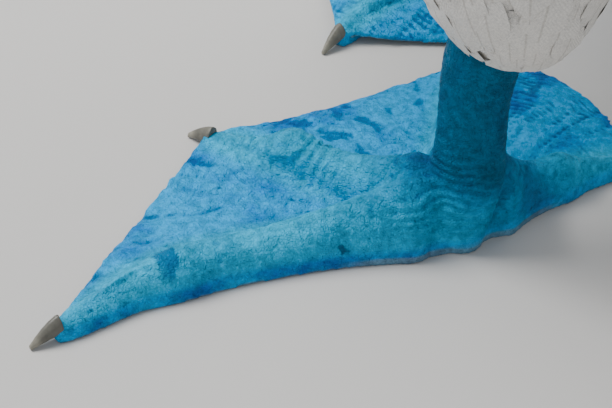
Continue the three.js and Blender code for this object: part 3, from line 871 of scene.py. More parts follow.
def euler_of(along, normal):
    """Turns that lay a feather's length along one direction with its back towards the other."""
    x = unit(along)
    y = unit(np.cross(normal, x))
    z = np.cross(x, y)
    roll = np.arctan2(y[:, 2], z[:, 2])
    pitch = np.arcsin(np.clip(-x[:, 2], -1, 1))
    heading = np.arctan2(x[:, 1], x[:, 0])
    return np.stack([roll, pitch, heading], -1)


BAKE_PATCH = 0.003


def lay_feathers(name, roots, kind, material, seed):
    """A coat piece: roots hold place, lie, normal, size, dark, edge and their spot on the unwrap."""
    tree = bpy.data.node_groups.get("Lay feathers") or coat_tree()
    mesh = bpy.data.meshes.new(name)
    mesh.from_pydata(world(roots["place"]).tolist(), [], [])
    turn = euler_of(roots["lie"] + roots["normal"] * roots["stand"][:, None], roots["normal"])
    vectors = {"turn": turn, "size": roots["size"], "root_place": np.pad(roots["spot"], ((0, 0), (0, 1)))}
    for key, rows in vectors.items():
        layer = mesh.attributes.new(key, "FLOAT_VECTOR", "POINT")
        layer.data.foreach_set("vector", rows.astype(np.float32).ravel())
    for key in ("dark", "edge"):
        add_values(mesh, key, roots[key])
    bed = add_object(name + "_roots", mesh)
    models = {f"Feather {k}": body_feather(f"{name}_feather_{k}", seed + k, *kind) for k in (1, 2, 3)}
    layer = bed.modifiers.new("Feathers", "NODES")
    layer.node_group = tree
    values = {**models, "Seed": seed, "Patch": BAKE_PATCH, "Plumage": material}
    for item in tree.interface.items_tree:
        if item.name in values:
            layer[item.identifier] = values[item.name]
    coat = bpy.data.meshes.new_from_object(bed.evaluated_get(bpy.context.evaluated_depsgraph_get()))
    coat.name = name
    for old in [bed, *models.values()]:
        bpy.data.objects.remove(old)
    for key in vectors:
        if key in coat.attributes:
            coat.attributes.remove(coat.attributes[key])
    return add_object(name, coat)


def body_roots(first, last, row_gap, gap, seed, keep):
    """Roots in offset rows over the body, each with the way its feather lies."""
    rng = np.random.default_rng(seed)
    rows, station, count = [], first, 0
    while station < last:
        step = np.linalg.norm(on_body(station + 0.05, 90) - on_body(station - 0.05, 90)) / 0.1
        _, _, half, width = ring_at(station)
        n = max(8, int(math.pi * (half + width) / gap))
        angles = (np.arange(n) + 0.5 * (count % 2)) * 360 / n + rng.normal(0, 0.22 * 360 / n, n)
        rows.append(np.stack([station + rng.normal(0, 0.2 * row_gap / step, n), angles], -1))
        station += row_gap / step
        count += 1
    s, a = np.vstack(rows).T
    depth = np.interp(s, COAT_STATIONS, COAT_DEPTHS)
    place = on_body(s, a, -depth)
    lie = unit(on_body(s - 0.03, a, -depth) - on_body(s + 0.03, a, -depth))
    around = on_body(s, a + 0.5, -depth) - on_body(s, a - 0.5, -depth)
    normal = unit(np.cross(around, lie))
    spot = np.stack([0.05 + 0.6 * s / BILL_BASE, 0.05 + 0.9 * ((a / 360) % 1)], -1)
    chosen = keep(s, (a + 180) % 360 - 180, place)
    return {"place": place[chosen], "lie": lie[chosen], "normal": normal[chosen], "spot": spot[chosen]}


# Where a coat's roots are kept, from their stations, angles and places

def everywhere(station, angle, place):
    return station > 0


def outside_wing(station, angle, place, margin=12):
    """False where the folded wing covers the body, well inside the wing's edges."""
    share = (WRIST - station) / (WRIST - WING_TIP)
    high, low = wing_edges(share)
    return (share <= 0.02) | (np.abs(angle) <= high + margin) | (np.abs(angle) >= low - margin)


def off_face(station, angle, place):
    """False on the naked skin around eyes and bill."""
    return bareness(*place.T) < 0.5


def dressed(roots, rng, edge, dark=None):
    """Adds each feather's size, stand, darkness and edge to the roots."""
    n = len(roots["place"])
    size = rng.uniform(0.85, 1.15, n)
    roots["size"] = np.stack([size, size * rng.uniform(0.9, 1.12, n), size], -1)
    roots["stand"] = rng.normal(0, 0.035, n)
    roots["dark"] = np.clip(markings(roots["place"]) if dark is None else np.full(n, dark), 0, 1)
    roots["dark"] = np.clip(roots["dark"] + rng.normal(0, 0.05, n) * (roots["dark"] > 0.03), 0, 1)
    roots["edge"] = np.full(n, edge) * rng.uniform(0.6, 1.1, n)
    return roots


def darker(roots, rng, low, high):
    """Deepens the streaks of some feathers more than those of others."""
    roots["dark"] = np.clip(roots["dark"] * rng.uniform(low, high, len(roots["dark"])), 0, 1)


def coat_pieces(name, roots, kind, material, seed, most=1500):
    """Lays the coat in pieces small enough to bake."""
    total = len(roots["place"])
    order = np.argsort(roots["place"][:, 2], kind="stable")
    pieces = math.ceil(total / most)
    for k in range(pieces):
        part = order[k * total // pieces:(k + 1) * total // pieces]
        chosen = {key: rows[part] for key, rows in roots.items()}
        piece = lay_feathers(f"{name}_{k + 1}", chosen, kind, material, seed + 10 * k)
        finished(piece, "white_plumage")


# Colours of the small feathers

WHITE = (0.74, 0.71, 0.66)
BROWN = (0.075, 0.050, 0.036)
STREAK_EDGE = (0.72, 0.68, 0.62)
STREAK_BROWN = (0.120, 0.074, 0.046)
DEEP = (0.022, 0.016, 0.013)


def build_coat(bird):
    rng = np.random.default_rng(bird.seed)
    white, brown = tuple(bird.white), tuple(bird.brown)
    body = feather_material("white_body_feathers", white, white, brown, 90)
    neck = feather_material("streaked_neck_feathers", white, STREAK_EDGE, STREAK_BROWN, 70, 1.0)
    body_gap, neck_gap, head_gap = (gap / MILLIMETRE for gap in (bird.body_gap, bird.neck_gap, bird.head_gap))

    roots = body_roots(TAIL_ROOT + 0.1, 13.0, body_gap * 1.05, body_gap, 3, outside_wing)
    coat_pieces("body_coat", dressed(roots, rng, 0.75), BODY_FEATHER, body, 40)

    roots = dressed(body_roots(12.6, 16.9, neck_gap, neck_gap, 4, everywhere), rng, 0.8)
    darker(roots, rng, 0.9, 2.3)
    coat_pieces("neck_coat", roots, NECK_FEATHER, neck, 50)

    roots = body_roots(16.6, 20.9, head_gap, head_gap, 5, off_face)
    near = np.linalg.norm(roots["place"] - (EYE_AT[0], 0, EYE_AT[2]), axis=1)
    roots["place"] = roots["place"] + roots["normal"] * (0.2 + head_relief(*roots["place"].T))[:, None]
    roots = dressed(roots, rng, 0.8)
    darker(roots, rng, 1.0, 2.4)
    roots["size"] *= mix(0.55, 1, smooth(18, 36, near))[:, None]
    coat_pieces("head_coat", roots, HEAD_FEATHER, neck, 60, 1400)

    for side, name in SIDES:
        roots = dressed(thigh_roots(side, body_gap * 0.85), rng, 0.6, 0.02)
        short = mix(0.45, 1, smooth(54, 80, roots["place"][:, 2]))
        roots["size"] *= np.stack([short, np.sqrt(short), short], -1)
        coat_pieces(f"{name}_thigh_coat", roots, THIGH_FEATHER, body, 70)
    coat_pieces("tail_coverts", dressed(tail_roots(body_gap * 1.15), rng, 0.4), TAIL_COVERT, body, 80)


def turns_share(angle):
    return angle / (2 * math.pi) % 1


def thigh_roots(side, gap):
    """Roots in rings down a thigh, close to its skin."""
    rng = np.random.default_rng(17 + side)
    heights = np.arange(0.08, 0.92, gap / THIGH_HEIGHT)
    t, angle = [], []
    for k, h in enumerate(heights):
        _, _, _, length, width = spline(THIGH, h)
        n = max(7, int(math.pi * (length + width) / gap))
        turns = (np.arange(n) + 0.5 * (k % 2)) * 2 * np.pi / n + rng.normal(0, 0.1, n)
        t.append(np.full(n, h) + rng.normal(0, 0.006, n))
        angle.append(turns)
    t, angle = np.concatenate(t), np.concatenate(angle)
    place = thigh_point(side, t, angle, -THIGH_COAT_DEPTH)
    lie = unit(thigh_point(side, t + 0.01, angle) - thigh_point(side, t - 0.01, angle))
    around = thigh_point(side, t, angle + 0.02) - thigh_point(side, t, angle - 0.02)
    normal = unit(np.cross(around, lie)) * side
    outward = place - thigh_point(side, t, angle, -8)
    normal = normal * np.sign((normal * outward).sum(-1, keepdims=True))
    spot = np.stack([0.7 + 0.12 * t + (0.14 if side < 0 else 0), 0.05 + 0.9 * turns_share(angle)], -1)
    return {"place": place, "lie": lie, "normal": normal, "spot": spot}


def tail_roots(gap):
    """Roots in rings of twenty around the tail's fleshy root."""
    rng = np.random.default_rng(23)
    n = 20
    t, angle = [], []
    for k, share in enumerate(np.arange(0.0, 0.98, gap / TAIL_ROOT_LENGTH)):
        turns = (np.arange(n) + 0.5 * (k % 2)) * 2 * np.pi / n + rng.normal(0, 0.06, n)
        t.append(np.full(n, share) + rng.normal(0, 0.01, n))
        angle.append(turns)
    t, angle = np.concatenate(t), np.concatenate(angle)
    place = tail_root_ring(t, angle, -1.0)
    lie = unit(tail_root_ring(t + 0.02, angle) - tail_root_ring(t - 0.02, angle))
    normal = unit(place - tail_root_ring(t, angle, -9))
    spot = np.stack([0.05 + 0.9 * t, 0.05 + 0.9 * turns_share(angle)], -1)
    return {"place": place, "lie": lie, "normal": normal, "spot": spot}


# Wings and tail: long vanes, each with its shaft and split edges

def long_vane(place, half, rows, thick, camber, rng, point, fill):
    """One flight feather. place turns the share of its length, side offset and lift into points."""
    cols = 9
    t = np.linspace(0, 1, rows) ** 0.9
    across = np.linspace(-1, 1, cols)
    width = half * feather_outline(t, point, fill)
    cut = np.ones((rows, cols))
    for column in (0, cols - 1):
        for k in rng.integers(3, rows - 2, 3):
            cut[k, column] = rng.uniform(0.72, 0.9)
    y = across[None] * width[:, None] * cut
    shaft = bump(across, 0, 0.12)[None] * 0.35 * (1 - 0.7 * t)[:, None]
    lift = camber * (1 - across ** 2)[None] + shaft + 0 * y
    top = place(t[:, None] + 0 * y, y, lift + thick * (1 - 0.6 * t)[:, None])
    low = place(t[:, None] + 0 * y, y, lift)
    points, faces = shell(top, low)
    fringe = np.maximum(smooth(0.86, 1.0, t)[:, None], smooth(0.72, 1.0, np.abs(across))[None] * 0.7)
    return points, faces.tolist(), vane_map(t, across), np.tile(fringe.ravel(), 2)


def vane_piece(name, vanes, material, edge, dark, rng, *nodes):
    """Joins long vanes into one piece of brown plumage, each with its own patch of the bake map."""
    points, faces = joined([vane[:2] for vane in vanes])
    across = math.ceil(math.sqrt(len(vanes)))
    bake, tint = [], []
    for k, (_, _, flat, _) in enumerate(vanes):
        corner = 0.03 + 0.94 * np.array([k % across, k // across]) / across
        bake.append(corner + flat * 0.02)
        tint.append(np.full(len(flat), np.clip(dark + rng.normal(0, 0.05), 0, 1)))
    values = {
        "fringe": np.concatenate([vane[3] for vane in vanes]),
        "dark": np.concatenate(tint),
        "edge": np.full(len(points), edge),
    }
    maps = {"vane": np.vstack([vane[2] for vane in vanes]), "OFBake": np.vstack(bake)}
    finished(add_mesh(name, points, faces, material, values, maps, True), "brown_plumage", *nodes)


# Rows of the wing: root and tip give share and height at the first feather, and the step to the next

WING_TIERS = [
    {"name": "primaries", "count": 10, "half": 9.6, "lift": (1.0, 1.1), "rise": 0.24, "rows": 26,
     "root": (0.44, -0.006, 0.2, 0.028), "tip": (1.0, -0.030, 0.42, 0.025), "point": 1.6, "fill": 0.55,
     "web": DEEP, "edge": (0.10, 0.075, 0.06), "fringe": 0.5},
    {"name": "secondaries", "count": 14, "half": 9.0, "lift": (1.6, 2.6), "rise": 0.12, "rows": 18,
     "root": (0.25, 0.004, 0.22, 0.02), "tip": (0.55, 0.0135, 0.07, 0.045), "point": 2.6, "fill": 0.8,
     "web": (0.040, 0.028, 0.022), "edge": (0.24, 0.19, 0.15), "fringe": 0.6},
    {"name": "greater_coverts", "count": 13, "half": 8.4, "lift": (2.2, 3.6), "rise": 0.11, "rows": 14,
     "root": (0.12, 0.004, 0.18, 0.03), "tip": (0.33, 0.0135, 0.05, 0.062), "point": 2.6, "fill": 0.75,
     "web": (0.055, 0.038, 0.029), "edge": (0.30, 0.24, 0.19), "fringe": 0.7},
    {"name": "median_coverts", "count": 12, "half": 7.4, "lift": (2.6, 4.4), "rise": 0.1, "rows": 11,
     "root": (0.06, 0.002, 0.16, 0.055), "tip": (0.19, 0.0125, 0.05, 0.075), "point": 2.4, "fill": 0.7,
     "web": (0.060, 0.042, 0.032), "edge": (0.32, 0.26, 0.21), "fringe": 0.75},
    {"name": "tertials", "count": 5, "half": 11, "lift": (3.0, 4.0), "rise": 0.35, "rows": 16,
     "root": (0.34, -0.018, 0.68, 0.05), "tip": (0.76, -0.032, 0.6, 0.085), "point": 2.3, "fill": 0.7,
     "web": (0.050, 0.035, 0.027), "edge": (0.42, 0.36, 0.30), "fringe": 0.8},
]


ARM_THICKNESS = 5.0
WING_LENGTH = 415


def arm_swell(share, height):
    """How far the arm and its coverts stand out under the feathers of the folded wing."""
    along = np.clip(mix(0.06, 0.98, share / 0.66), 0, 1) ** 0.7
    around = mix(0.08, 0.94, np.clip(height, 0, 1))
    return ARM_THICKNESS * np.clip(np.sin(np.pi * around) * np.sin(np.pi * along), 0, 1)


def wing_vane(side, tier, k, rng):
    root, tip = tier["root"], tier["tip"]
    start = (root[0] + k * root[1], root[2] + k * root[3])
    end = (tip[0] + k * tip[1] + rng.normal(0, 0.004), tip[2] + k * tip[3] + rng.normal(0, 0.008))
    half = tier["half"] - 0.1 * k
    lifts = [v + tier["rise"] * k for v in tier["lift"]]

    def place(t, y, lift):
        share = mix(start[0], end[0], t)
        middle = mix(start[1], end[1], t)
        _, _, high, wide = ring_at(mix(WRIST, WING_TIP, share))
        upper, lower = wing_edges(share)
        span = np.radians(lower - upper) * (high + wide) / 2
        height = middle + y / span
        points = on_wing(share, height, mix(lifts[0], lifts[1], t) + arm_swell(share, height) + lift)
        return points * (1, side, 1)

    return long_vane(place, half, tier["rows"], 0.5, 0.3, rng, tier["point"], tier["fill"])


def wing_pad(side, rows=60, cols=30):
    """The arm under its coverts, closed, out to where the flight feathers leave it."""
    share = np.linspace(0, 0.62, rows)[:, None]
    height = mix(np.interp(share, (0, 0.35, 0.62), (0.02, 0.06, 0.45)), 1, np.linspace(0, 1, cols)[None])
    top = on_wing(share, height, 0.6 + arm_swell(share, height)) * (1, side, 1)
    low = on_wing(share, height, 0.0) * (1, side, 1)
    return shell(top, low)


def wing_roots(side, share, height, lift, drift, spot):
    """Roots on the folded wing, with the way that their feathers lie."""
    place = on_wing(share, height, lift)
    lie = unit(on_wing(share + 0.01, height - drift, lift) - on_wing(share - 0.01, height + drift, lift))
    normal = unit(place - on_wing(share, height, lift - 5))
    turn = np.array([1, side, 1])
    spot = np.clip(np.stack(spot, -1), 0, 1)
    return {"place": place * turn, "lie": lie * turn, "normal": normal * turn, "spot": spot}


def covert_roots(side, gap):
    """Roots of the small coverts over the arm."""
    rng = np.random.default_rng(31 + side)
    share, height = [], []
    for k, s in enumerate(np.arange(0.012, 0.40, gap / WING_LENGTH * 1.35)):
        n = int(np.interp(s, (0, 0.1, 0.5), (38, 95, 100)) / gap)
        h = (np.arange(n) + 0.5 + 0.5 * (k % 2)) / n + rng.normal(0, 0.012, n)
        share.append(np.full(n, s) + rng.normal(0, 0.002, n))
        height.append(h)
    share, height = np.concatenate(share), np.concatenate(height)
    upper = 0.95 - 0.1 * share
    lower = np.interp(share, (0, 0.06, 0.2, 0.42), (-0.03, 0.0, 0.30, 0.80))
    keep = (height < upper + 0.1) & (height > lower)
    share, height = share[keep], height[keep]
    lift = 2.6 + arm_swell(share, height) + 2.6 * smooth(0.02, 0.2, share)
    spot = (0.05 + 0.9 * share / 0.45, 0.05 + 0.9 * np.clip(height, 0, 1))
    return wing_roots(side, share, height, lift, 0.004, spot)


def scapular_roots(side, gap):
    """Roots of the long shoulder feathers that bridge the back and the wing's upper edge."""
    rng = np.random.default_rng(41 + side)
    share, height = [], []
    n = 6
    for k, s in enumerate(np.arange(-0.01, 0.34, gap / WING_LENGTH)):
        h = np.linspace(0.80, 1.22, n) + 0.04 * (k % 2) + rng.normal(0, 0.02, n)
        share.append(np.full(n, s) + rng.normal(0, 0.004, n))
        height.append(h)
    share, height = np.concatenate(share), np.concatenate(height)
    lift = 1.6 + arm_swell(share, height) + 3.4 * smooth(1.25, 0.95, height) * smooth(-0.02, 0.12, share)
    spot = (0.05 + 0.9 * share / 0.4, 0.05 + 0.85 * np.clip((height - 0.7) / 0.7, 0, 1))
    return wing_roots(side, share, height, lift, 0.002, spot)


def build_arm(side, name, material):
    """The arm, which stands for the whole folded wing."""
    points, faces = wing_pad(side)
    zero = np.zeros(len(points))
    flat = np.zeros((len(points), 2))
    values = {"dark": zero, "edge": zero, "fringe": zero}
    arm = add_mesh(f"{name}_wing_arm", points, faces, material, values, {"vane": flat, "OFBake": flat})
    finished(arm, "brown_plumage", f"{name}_wing")


def build_wings(bird):
    rng = np.random.default_rng(bird.seed + 1)
    brown = tuple(bird.brown)
    small = feather_material("small_wing_coverts", (0.060, 0.042, 0.032), (0.36, 0.30, 0.24), DEEP, 80)
    shoulder = feather_material("scapular_feathers", (0.065, 0.046, 0.035), (0.60, 0.55, 0.49), DEEP, 120)
    down = feather_material("wing_pad_down", (0.050, 0.036, 0.028), brown, DEEP, 40)
    paints = {}
    for tier in WING_TIERS:
        row = tier["name"]
        paints[row] = feather_material("wing_" + row, tier["web"], tier["edge"], DEEP, 520)
    for side, name in SIDES:
        build_arm(side, name, down)
        for tier in WING_TIERS:
            row = tier["name"]
            vanes = [wing_vane(side, tier, k, rng) for k in range(tier["count"])]
            vane_piece(f"{name}_{row}", vanes, paints[row], tier["fringe"], 0.15, rng)
        roots = dressed(covert_roots(side, bird.body_gap / MILLIMETRE), rng, 0.7, 0.2)
        piece = lay_feathers(f"{name}_small_coverts", roots, SMALL_COVERT, small, 90 + side)
        finished(piece, "brown_plumage")
        roots = dressed(scapular_roots(side, 9), rng, 0.9, 0.15)
        piece = lay_feathers(f"{name}_scapulars", roots, SCAPULAR, shoulder, 95 + side)
        finished(piece, "brown_plumage")


TAIL_PAIRS = 6


def tail_vane(rank, side, rng):
    """One tail feather: rank 0 is the middle pair, and the outer pairs are shorter and lie lower."""
    share = rank / (TAIL_PAIRS - 1)
    turn = math.radians(side * mix(1.5, TAIL_FAN, share))
    length = TAIL_LENGTH * (1 - 0.4 * share ** 1.3)
    sink = -0.95 * rank - (0.45 if side < 0 else 0)

    def place(t, y, lift):
        along = 12 + (length - 12) * t
        x = along * math.cos(turn) - y * math.sin(turn)
        across = along * math.sin(turn) + y * math.cos(turn) + side * 2.5
        return tail_place(x, across, sink * (0.4 + 0.6 * t) + 1.3 + lift - 0.1 * np.abs(across))

    return long_vane(place, 10.5, 26, 0.45, 0.5, rng, 1.6, 0.55)


def build_tail(bird):
    rng = np.random.default_rng(bird.seed + 2)
    brown = tuple(bird.brown)
    paint = feather_material("tail_feathers", (0.060, 0.044, 0.034), (0.34, 0.29, 0.24), DEEP, 460)
    pale = feather_material("middle_tail_feathers", (0.30, 0.26, 0.22), (0.55, 0.50, 0.45), brown, 460)
    vanes = [tail_vane(rank, side, rng) for rank in range(TAIL_PAIRS) for side, _ in SIDES]
    vane_piece("tail_feathers", vanes[2:], paint, 0.6, 0.15, rng, "tail")
    vane_piece("middle_tail_feathers", vanes[:2], pale, 0.7, 0.2, rng)


# Bill: distance from its base, height of its ridge or keel and half width

BILL_UPPER = [(0, 16.5, 13), (14, 13.6, 11.6), (34, 10.4, 9.4), (58, 7.6, 7), (80, 5.2, 5), (94, 3.6, 3.4),
              (BILL_LENGTH, -2.2, 1)]
BILL_LOWER = [(0, -15, 12.4), (14, -13, 10.8), (34, -10.6, 8.4), (58, -8.4, 6.2), (80, -6.6, 4.2),
              (BILL_LENGTH - 6, -4.4, 1.4)]
CUT_LINE = -1.6


def bill_half(table, drop, groove, toothed):
    """One half of the bill, round over a flat cutting face, and how near each point is to tip and base."""
    rows, cols = 150, 40
    line = spline(table, np.linspace(0, 1, rows))
    x = line[:, :1]
    flat = CUT_LINE - 2.2 * np.clip(x / BILL_LENGTH - 0.72, 0, None) / 0.28 - drop
    a = np.linspace(0, np.pi, cols)[None]
    rise = (line[:, 1:2] - flat) * np.sin(a) ** 0.9
    share = x / BILL_LENGTH
    side = 1 - 0.035 * groove * (bump(a, 0.95, 0.09) + bump(a, np.pi - 0.95, 0.09)) * smooth(0.98, 0.8, share)
    keel = 1 + 0.02 * bump(a, np.pi / 2, 0.22)
    grain = 1 + 0.006 * lattice(x * 0.12 + 0 * a, np.cos(a) * 6, np.sin(a) * 6, 33)
    plates = 1 - 0.012 * groove * bump(np.mod(share * 11 + 0.5, 1), 0.5, 0.07) * smooth(0.45, 0.2, share)
    y = line[:, 2:3] * np.cos(a) * side * grain * plates
    z = flat + rise * keel * side * grain * plates
    teeth = 0.12 * np.sin(x * 5.2) * (bump(a, 0, 0.16) + bump(a, np.pi, 0.16)) * smooth(0.25, 0.4, share)
    z = z + teeth * smooth(0.99, 0.9, share) * toothed
    points = np.stack([x + 0 * a, y, z], -1)
    cos, sin = math.cos(BILL_PITCH), math.sin(BILL_PITCH)
    turned = points @ np.array([(cos, 0, sin), (0, 1, 0), (-sin, 0, cos)])
    loft, faces = closed_loft(turned + (BILL_AT[0] + 0.6, 0, BILL_AT[1]))
    tip = np.append((smooth(0.72, 1.0, share) + 0 * a).ravel(), [0, 1])
    base = np.append((smooth(0.14, 0.0, share) + 0 * a).ravel(), [1, 0])
    return loft, faces, tip, base


def bill_material():
    s = Shader("bill_horn_grey", 0.38, 0.5)
    tone = s.blend(s.mottle(110, 0.32, 0.7, detail=5), (0.120, 0.165, 0.190), (0.165, 0.210, 0.225))
    tone = s.blend(s.ramp(s.value("base"), 0.0, 1.0, 0.0, 0.75), tone, (0.045, 0.070, 0.090))
    tone = s.blend(s.ramp(s.value("tip"), 0.1, 1.0, 0.0, 0.7), tone, (0.200, 0.200, 0.165))
    streaks = s.noise(700, 6, s.stretched(s.place(), (0.25, 1, 1)))
    s.colour(s.blend(1.0, tone, s.ramp(streaks, 0.3, 0.7, 0.8, 1.12), "MULTIPLY"))
    s.roughness(s.mottle(420, 0.3, 0.7, 0.30, 0.50))
    s.relief(s.noise(500, 5, s.stretched(s.place(), (0.12, 1, 1)), 0.6), 0.00014, 0.6)
    return s.material


def build_bill(bird):
    paint = bill_material()
    halves = (("bill_upper", BILL_UPPER, 0, 1, 1), ("bill_lower", BILL_LOWER, 0.45, 0.6, 0))
    for name, table, drop, groove, toothed in halves:
        points, faces, tip, base = bill_half(table, drop, groove, toothed)
        piece = add_mesh(name + "_horn", points, faces, paint, {"tip": tip, "base": base})
        finished(piece, "bill_horn", name)


# Eyes and lids

IRIS_YELLOW = (0.88, 0.70, 0.16)


def eye_axes(side):
    """Outward, forward and up directions of an eye, which looks a little ahead."""
    out = unit(np.array([0.24, side, 0.03]))
    up = unit(np.array([0.0, 0.0, 1.0]) - 0.03 * out)
    return out, unit(np.cross(up, out)) * side, up


def eye_material(yellow):
    """A dark pupil, a fibrous yellow iris with a dark rim, and a clear wet coat."""
    s = Shader("eye_yellow", 0.05, 0.6)
    radius = s.value("radius")
    iris = s.blend(s.mottle(900, 0.3, 0.7, detail=5, grain=0.7), (0.72, 0.48, 0.045), yellow)
    iris = s.blend(s.ramp(radius, 0.74, 0.90), iris, (0.16, 0.09, 0.02))
    tone = s.blend(s.ramp(radius, 0.30, 0.335, 1.0, 0.0), iris, (0.002, 0.002, 0.002))
    s.colour(s.blend(s.ramp(radius, 0.9, 0.97), tone, (0.02, 0.02, 0.022)))
    s.surface.inputs["Coat Weight"].default_value = 1.0
    s.surface.inputs["Coat Roughness"].default_value = 0.02
    return s.material


def lid_material():
    s = Shader("lid_skin", 0.5, 0.4)
    s.colour(s.blend(s.mottle(500, 0.3, 0.7, detail=5), (0.030, 0.050, 0.062), (0.085, 0.120, 0.140)))
    s.relief(s.cells(2200), 0.0001, 0.6)
    return s.material


def eyeball(centre, out, ahead, up, rows=44, cols=64):
    """The eyeball with a slight bulge in front, and how far each point lies from the eye's axis."""
    polar = np.linspace(0.001, np.pi * 0.97, rows)[:, None]
    around = np.linspace(0, 2 * np.pi, cols, endpoint=False)[None]
    bulge = 1 + 0.05 * bump(polar, 0, 0.55)
    across = (np.sin(polar) * np.cos(around))[..., None] * ahead
    height = (np.sin(polar) * np.sin(around))[..., None] * up
    depth = (np.cos(polar) + 0 * around)[..., None] * out
    points, faces = closed_loft(centre + (EYE_RADIUS - 0.25) * bulge[..., None] * (across + height + depth))
    reach = np.append((np.sin(np.minimum(polar, np.pi / 2)) / 0.80 + 0 * around).ravel(), [0, 1])
    return points, faces, np.clip(reach, 0, 1)


def build_eyes(bird):
    glossy = eye_material(tuple(bird.iris))
    lid = lid_material()
    for side, name in SIDES:
        centre = np.array([EYE_AT[0], side * EYE_AT[1], EYE_AT[2]])
        axes = eye_axes(side)
        points, faces, radius = eyeball(centre, *axes)
        eye = add_mesh(f"{name}_eyeball", points, faces, glossy, {"radius": radius})
        finished(eye, "eye", f"{name}_eye")
        points, faces = eyelid(centre, *axes)
        finished(add_mesh(f"{name}_lids", points, faces, lid), "streaked_plumage")


def eyelid(centre, out, ahead, up, rows=110, cols=14):
    """The two lids as one almond ring with a corner at each end and fine folds along it."""
    a = np.linspace(0, 2 * np.pi, rows, endpoint=False)
    corner = np.abs(np.cos(a)) ** 10
    width = 5.35 + 0.9 * corner
    height = 5.0 - 0.25 * np.clip(np.sin(a), 0, 1)
    x, z = width * np.cos(a), height * np.sin(a) * (1 - 0.12 * corner)
    depth = np.sqrt(np.clip((EYE_RADIUS + 0.1) ** 2 - x ** 2 - z ** 2, 4.0, None))
    ring = centre + x[:, None] * ahead + z[:, None] * up + depth[:, None] * out
    outward = unit(x[:, None] * ahead + z[:, None] * up)
    b = np.linspace(0, 2 * np.pi, cols, endpoint=False)
    folds = 1 + 0.10 * np.sin(a * 34)[:, None] * bump(b, np.pi * 0.5, 1.2)[None]
    wide = (1.75 + 0.7 * corner)[:, None] * (np.cos(b)[None] * 0.5 + 0.5) * folds
    thick = 0.62 * np.sin(b)[None] * folds - 0.25 * (np.cos(b)[None] * 0.5 + 0.5) * 3.2
    points = ring[:, None] + outward[:, None] * wide[..., None] + out * thick[..., None]
    points = points.reshape(-1, 3)
    i, j = np.meshgrid(np.arange(rows), np.arange(cols), indexing="ij")
    p, q = (i + 1) % rows, (j + 1) % cols
    quads = np.stack([i * cols + j, i * cols + q, p * cols + q, p * cols + j], -1).reshape(-1, 4)
    return points, quads.tolist()


# Legs and feet

def three_along(values, t):
    """A value given at the root, the middle and the tip, eased between them."""
    first = mix(values[0], values[1], smooth(0, 0.5, t))
    return np.where(t < 0.5, first, mix(values[1], values[2], smooth(0.5, 1, t)))


# Webs: toes, how far the edge sags in or bulges out, height of the middle, hold and fall at each toe

WEB_REACH = 0.985
WEBS = [
    {"toes": (4, 3), "sag": 0.0, "bulge": 1.5, "crown": 2.2, "hold": (0.90, 0.62), "fall": (1.25, 2.2)},
    {"toes": (3, 2), "sag": 0.02, "bulge": 0, "crown": 3.6, "hold": (0.62, 0.62), "fall": (2.2, 2.2)},
    {"toes": (2, 1), "sag": 0.0, "bulge": 0, "crown": 3.4, "hold": (0.62, 0.62), "fall": (2.2, 2.2)},
]
HIND_BULGE = {1: 12, -1: 0}

# The leg: height, middle, half length and half width

LEG = np.array([
    (0, 0.8, 6.4, 5.0), (4, 0.8, 6.9, 5.3), (9, 0.3, 7.3, 5.5), (14, -0.4, 7.5, 5.5), (20, -1.2, 7.4, 5.2),
    (29, -1.2, 7, 4.8), (38, -1.2, 7, 4.8), (46, -2, 7.4, 5.2), (51.5, -3, 7.2, 5.1),
], float)

# How high each toe rises towards the leg, and how far out that rise dies away

FILLET = {4: (4, 7.0), 3: (3.5, 7.0), 2: (5, 5.0), 1: (8, 8.0)}


# The pad of the sole below the ankle, from the outer toe to the hind one: place, half width, height

SOLE_PAD = np.array([(14, 9.5, 5.2, 7), (5, 2.6, 5.8, 9), (-1.5, -4.5, 5.2, 9), (-7, -14, 4.6, 7)], float)


def low_tube(line, half, back, cols=25):
    """A tube along a line on the floor: round above, flat below."""
    run = unit(np.gradient(line, axis=0))
    a = np.linspace(0, np.pi, cols)
    across = half[:, None] * np.cos(a)[None]
    x = line[:, :1] - run[:, 1:] * across
    y = line[:, 1:] + run[:, :1] * across
    z = back[:, None] * np.sin(a)[None] ** 0.85
    return closed_loft(np.stack([x, y, z], -1))


def sole_pad(rows=40):
    t = np.linspace(0, 1, rows)
    table = spline(SOLE_PAD, t)
    ends = np.sqrt(np.clip(1 - np.abs(2 * t - 1) ** 5, 0.02, 1))
    return low_tube(table[:, :2], table[:, 2] * ends, table[:, 3] * ends)


def toe_tube(number, rows=70):
    """A toe: round above, flat below, swollen at its joint, rising to the leg, with a rounded tip."""
    toe = TOES[number]
    t = np.linspace(0, 1, rows)
    line = spline(toe["line"], t)
    tip = np.sqrt(np.clip(1 - smooth(0.9, 1.04, t) ** 2, 0, 1))
    joints = 1 + 0.11 * bump(t, 0.64, 0.07) - 0.05 * bump(t, 0.77, 0.06)
    rise, reach = FILLET[number]
    out = t * toe_length(number)
    fillet = np.exp(-np.clip(out - 6, 0, None) / reach)
    taper = mix(1, 0.68, smooth(0.6, 1, t))
    root = mix(0.62, 1, smooth(0, 8, out))
    half = (three_along(toe["half"], t) * tip * joints * taper + 1.4 * fillet) * root
    back = three_along(toe["back"], t) * tip * joints * taper + rise * fillet
    return low_tube(line, half, back)


def toe_length(number):
    line = TOES[number]["line"]
    return math.dist(line[0], line[-1])


